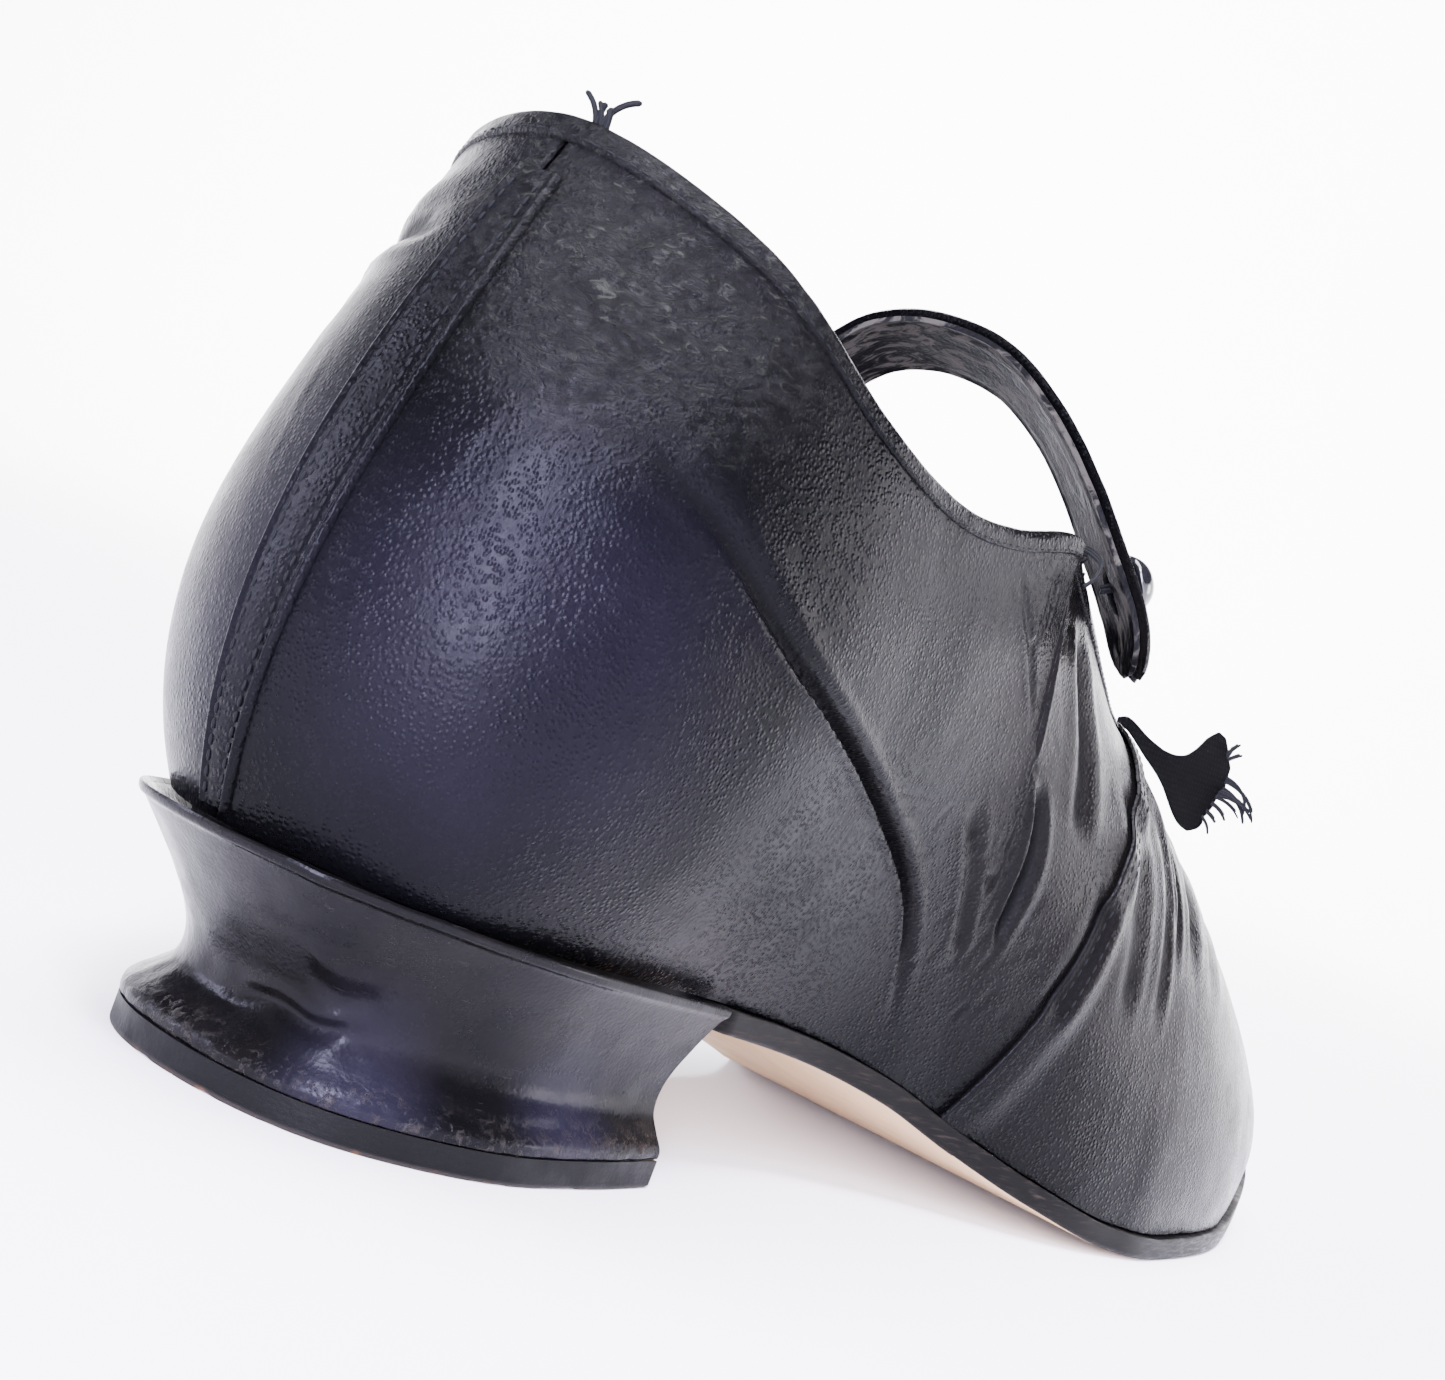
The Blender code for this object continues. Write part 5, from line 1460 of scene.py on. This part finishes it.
# Its loose threads: column of the end they leave from (0 is the lowest), heading, length, turn
RIBBON_FRAY = [(31, (0.25, -0.35, 0.9), 3.0, 0.2), (30, (0.3, -0.3, 0.85), 2.4, -0.4),
               (29, (0.5, -0.4, 0.7), 2.8, 0.3), (22, (0.5, -0.75, 0.0), 7.0, 1.5),
               (20, (0.5, -0.75, 0.05), 8.0, 1.3), (17, (0.5, -0.8, -0.1), 6.5, 1.1),
               (15, (0.5, -0.8, 0.1), 7.0, 0.9), (13, (0.5, -0.8, 0.2), 5.5, 0.6),
               (12, (0.5, -0.8, 0.1), 5.0, 0.9), (9, (0.45, -0.8, -0.1), 3.5, 0.8),
               (5, (0.4, -0.7, -0.2), 2.4, 0.5), (2, (0.3, -0.7, -0.3), 3.0, 0.9)]
RIBBON_SWAY = (-0.85, -0.5, 0.1)
FRAY_SUNK = 0.8           # a loose thread starts this far inside the cloth
FRAY_PAIR = (0, 0.1, 0.28)    # from a thread to the shorter one beside it


def make_ribbon(cloth, thread_material):
    """A torn scrap of ribbon: narrow where it is sewn on, then two points and a frayed end."""
    path = np.concatenate([[RIBBON_ROOT], np.array(RIBBON_PATH, float)])
    place = np.linspace(0, 1, 90)
    middle = along(path, place * (len(path) - 1))
    last = len(RIBBON_HALF) - 1
    half = along([(h, 0) for h in RIBBON_HALF], np.clip(place * (last + 1) - 1, 0, last))[:, 0]
    half = half * RIBBON_NARROW
    table = np.array(RIBBON_EDGE)
    upper = np.interp(place, table[:, 0], table[:, 1]) * half
    lower = np.interp(place, table[:, 0], table[:, 2]) * half
    share = np.linspace(0, 1, 34)
    b = lower[:, None] * (1 - share) + upper[:, None] * share
    wide = np.array(RIBBON_ACROSS)
    run = unit(np.gradient(middle, axis=0))
    points = middle[:, None] + b[..., None] * wide
    bowed = 1.6 * np.sin(np.pi * share)[None, :] * smoothstep(0.75, 1.0, place)[:, None]
    torn = 0.35 * soft_noise(30 + b, 0 * b, 1.1, 95) * smoothstep(0.93, 1.0, place)[:, None]
    points += run[:, None] * (bowed + torn)[..., None]
    ruck = 0.5 * np.sin(b * 0.5) * place[:, None]
    ruck += 0.25 * soft_noise(place[:, None] * 22 + 0 * b, b + 30, 4, 96)
    points += unit(np.cross(run, wide))[:, None] * ruck[..., None]
    ribbon = sheet_piece("ribbon_end", points, RIBBON_THICK, cloth)
    keep(ribbon, "ribbon", "ribbon_cloth", "ribbon_tab")
    threads = []
    for column, heading, reach, turn in RIBBON_FRAY:
        start = points[-1, column] - run[-1] * FRAY_SUNK
        threads.append((start, heading, reach, turn, RIBBON_SWAY))
        threads.append((start + np.array(FRAY_PAIR), heading, reach * 0.85, turn * 0.8, RIBBON_SWAY))
    keep(frayed("ribbon_fray", threads, 0.2, thread_material), "ribbon", "black_thread")


# Loose threads of worn edges: name, stations they leave from, lift, radius, then for each thread the
# number of its station, its heading, length and turn
WORN_EDGES = [
    ("back_seam_fray", (13.9, 13.93, 13.87), -0.4, 0.32, [
        (0, (0.0, 0.1, 1.0), 3.0, 0.5), (1, (0.0, 0.05, 1.0), 2.8, -0.3), (2, (0.05, 0.0, 1.0), 2.6, 0.2),
        (0, (0.05, -0.05, 1.0), 5.4, -1.2), (1, (-0.05, 0.1, 1.0), 4.0, 0.9),
        (2, (0.05, -0.1, 1.0), 2.4, 0.6)]),
    ("throat_fray", (5.95, 6.05), 0.4, 0.2, [
        (0, (0.0, -0.1, 1.0), 2.8, 0.2), (1, (-0.1, 0.5, 0.9), 2.2, -0.4), (0, (0.3, -0.7, 0.5), 2.0, 0.8),
        (1, (0.3, -0.5, -0.4), 2.2, 0.6)]),
]
EDGE_SWAY = (0.85, 0.5, 0.0)


def make_loose_threads(thread_material):
    """The worn top of the back seam and the throat's corner have lost some threads."""
    for name, stations, lift, radius, rows in WORN_EDGES:
        spots = skin(np.array(stations), np.ones(len(stations)), lift)
        threads = [(spots[number], *shape, EDGE_SWAY) for number, *shape in rows]
        keep(frayed(name, threads, radius, thread_material), "shoe", "black_thread")


# ---------------------------------------------------------------- frame pieces, studio and camera


def finish_node(name, material):
    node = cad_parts[name]
    node.data.materials.clear()
    node.data.materials.append(material)


FLOOR_REACH = 1500        # the floor is flat this far out, and its rim curves up with this radius
FLOOR_SIDES = 96


def make_floor():
    """A pale bowl: flat under the shoe, its rim curved up all round so that no horizon shows."""
    material = Finish("pale_floor", Specular_IOR_Level=0.1)
    cloudy = material.noise(900, 2)
    material.paint(material.mix(cloudy, (0.86, 0.85, 0.86), (0.90, 0.885, 0.895)), 0.75)
    material.bump(material.noise(3, 3), 0.02, 0.2)
    turns = np.arange(FLOOR_SIDES) * 2 * np.pi / FLOOR_SIDES
    rings = [(0.0, 0.0), (300, 0), (900, 0), (FLOOR_REACH, 0)]
    rings += [(FLOOR_REACH * (1 + math.sin(angle)), FLOOR_REACH * (1 - math.cos(angle)))
              for angle in np.linspace(0.1, 1.5, 14)]
    centre = np.array([HEEL_CENTRE_X, 0, 0])
    circle = np.stack([np.cos(turns), np.sin(turns), 0 * turns], -1)
    points = [centre + circle * radius + (0, 0, height) for radius, height in rings]
    faces = grid_faces(ring_ids(len(rings), FLOOR_SIDES, 0), True)
    mesh_piece("floor", np.concatenate(points), faces, material.material)


def softbox(name, place, aim, size, power, color=(1, 1, 1)):
    light = bpy.data.lights.new(name, "AREA")
    light.shape = "RECTANGLE"
    light.size, light.size_y = size
    light.energy = power
    light.color = color
    made = bpy.data.objects.new(name, light)
    made.location = place
    made.rotation_euler = (Vector(aim) - Vector(place)).to_track_quat("-Z", "Y").to_euler()
    bpy.context.scene.collection.objects.link(made)


def make_studio():
    make_floor()
    world = bpy.data.worlds.new("studio")
    world.use_nodes = True
    world.node_tree.nodes["Background"].inputs["Color"].default_value = (0.95, 0.96, 1.0, 1)
    world.node_tree.nodes["Background"].inputs["Strength"].default_value = WORLD_STRENGTH
    bpy.context.scene.world = world
    for light in LIGHTS:
        softbox(*light)


WORLD_STRENGTH = 0.12
MIDDLE = (0.09, 0.0, 0.05)
LIGHTS = [
    ("overhead", (0.1, 0.1, 1.9), MIDDLE, (1.6, 1.2), 170, (0.95, 0.96, 1.0)),
    ("backdrop", (1.2, 0.9, 1.5), (2.4, 1.3, 0.4), (1.2, 1.2), 300, (1.0, 0.99, 0.99)),
    ("window", (-1.53, -1.0, 0.85), MIDDLE, (0.42, 1.6), 270, (0.78, 0.77, 1.0)),
    ("far_window", (-1.1, 1.5, 0.5), MIDDLE, (0.3, 1.2), 56, (0.77, 0.76, 1.0)),
    ("roof", (-0.55, -0.42, 1.35), MIDDLE, (0.25, 0.35), 75, (0.82, 0.80, 1.0)),
    ("side", (1.7, -1.45, 0.45), MIDDLE, (0.5, 0.9), 30, (1.0, 0.97, 0.94)),
]

CAMERA_AT = (-0.22733, -0.18973, 0.06785)
AZIMUTH, ELEVATION, ROLL = (math.radians(angle) for angle in (-54.949, 1.902, 20.703))
LENS = 64.68


def make_camera():
    back = Vector((math.sin(AZIMUTH) * math.cos(ELEVATION), -math.cos(AZIMUTH) * math.cos(ELEVATION),
                   math.sin(ELEVATION)))
    right = (-back).cross(Vector((0, 0, 1))).normalized()
    up = right.cross(-back).normalized()
    across = right * math.cos(ROLL) + up * math.sin(ROLL)
    upward = back.cross(across)
    camera = bpy.data.cameras.new("camera")
    camera.lens = LENS
    camera.clip_start = 0.01
    made = bpy.data.objects.new("camera", camera)
    made.matrix_world = Matrix((across, upward, back)).transposed().to_4x4()
    made.location = CAMERA_AT
    bpy.context.scene.collection.objects.link(made)
    bpy.context.scene.camera = made


# ---------------------------------------------------------------- the shoe
make_camera()
make_studio()

BLACK_KID = black_leather()
HEEL_KID = heel_leather()
LINING_KID = lining_leather("lining_hide", (0.045, 0.038, 0.032), (0.10, 0.075, 0.055), (30, 0, 80), 60)
SOCK_HIDE = lining_leather("sock_hide", (0.06, 0.045, 0.035), (0.16, 0.105, 0.065), (40, 0, 33), 90)
STRAP_BACK = strap_underside()
EDGE_INK = edge_ink()
SOLE_HIDE = sole_leather()
TOP_HIDE = top_piece_leather()
BLACK_THREAD = thread("waxed_black_thread", (0.003, 0.003, 0.0035), 0.5)
RIBBON_WEAVE = ribbon_cloth()
FIBRE_BOARD = raw_board("fibre_board", (0.42, 0.33, 0.22), (0.30, 0.22, 0.14), 3)
CORK = raw_board("cork_grain", (0.38, 0.24, 0.13), (0.17, 0.09, 0.04), 1.4, 0.95)
RAW_WOOD = raw_wood()
STEEL = dull_steel()

for node_name, node_material in (("insole", FIBRE_BOARD), ("heel_counter", FIBRE_BOARD),
                                 ("toe_puff", FIBRE_BOARD), ("forepart_filler", CORK),
                                 ("heel_block", RAW_WOOD), ("shank", STEEL)):
    finish_node(node_name, node_material)
for nail in range(1, len(NAIL_SPOTS) + 1):
    finish_node(f"top_piece_nail_{nail}", STEEL)
for nail in range(1, SEAT_NAILS + 1):
    finish_node(f"heel_nail_{nail}", STEEL)

make_quarters(BLACK_KID)
make_vamp(BLACK_KID, BLACK_THREAD)
make_back_strip(BLACK_KID, BLACK_THREAD)
make_binding(BLACK_KID, BLACK_THREAD)
make_linings(LINING_KID)
make_outsole(SOLE_HIDE, EDGE_INK)
make_sock(SOCK_HIDE)
make_heel(HEEL_KID)
make_top_piece(TOP_HIDE)
make_strap(BLACK_KID, STRAP_BACK, BLACK_THREAD)
make_button(polished_button(), BLACK_THREAD)
make_ribbon(RIBBON_WEAVE, BLACK_THREAD)
make_loose_threads(BLACK_THREAD)
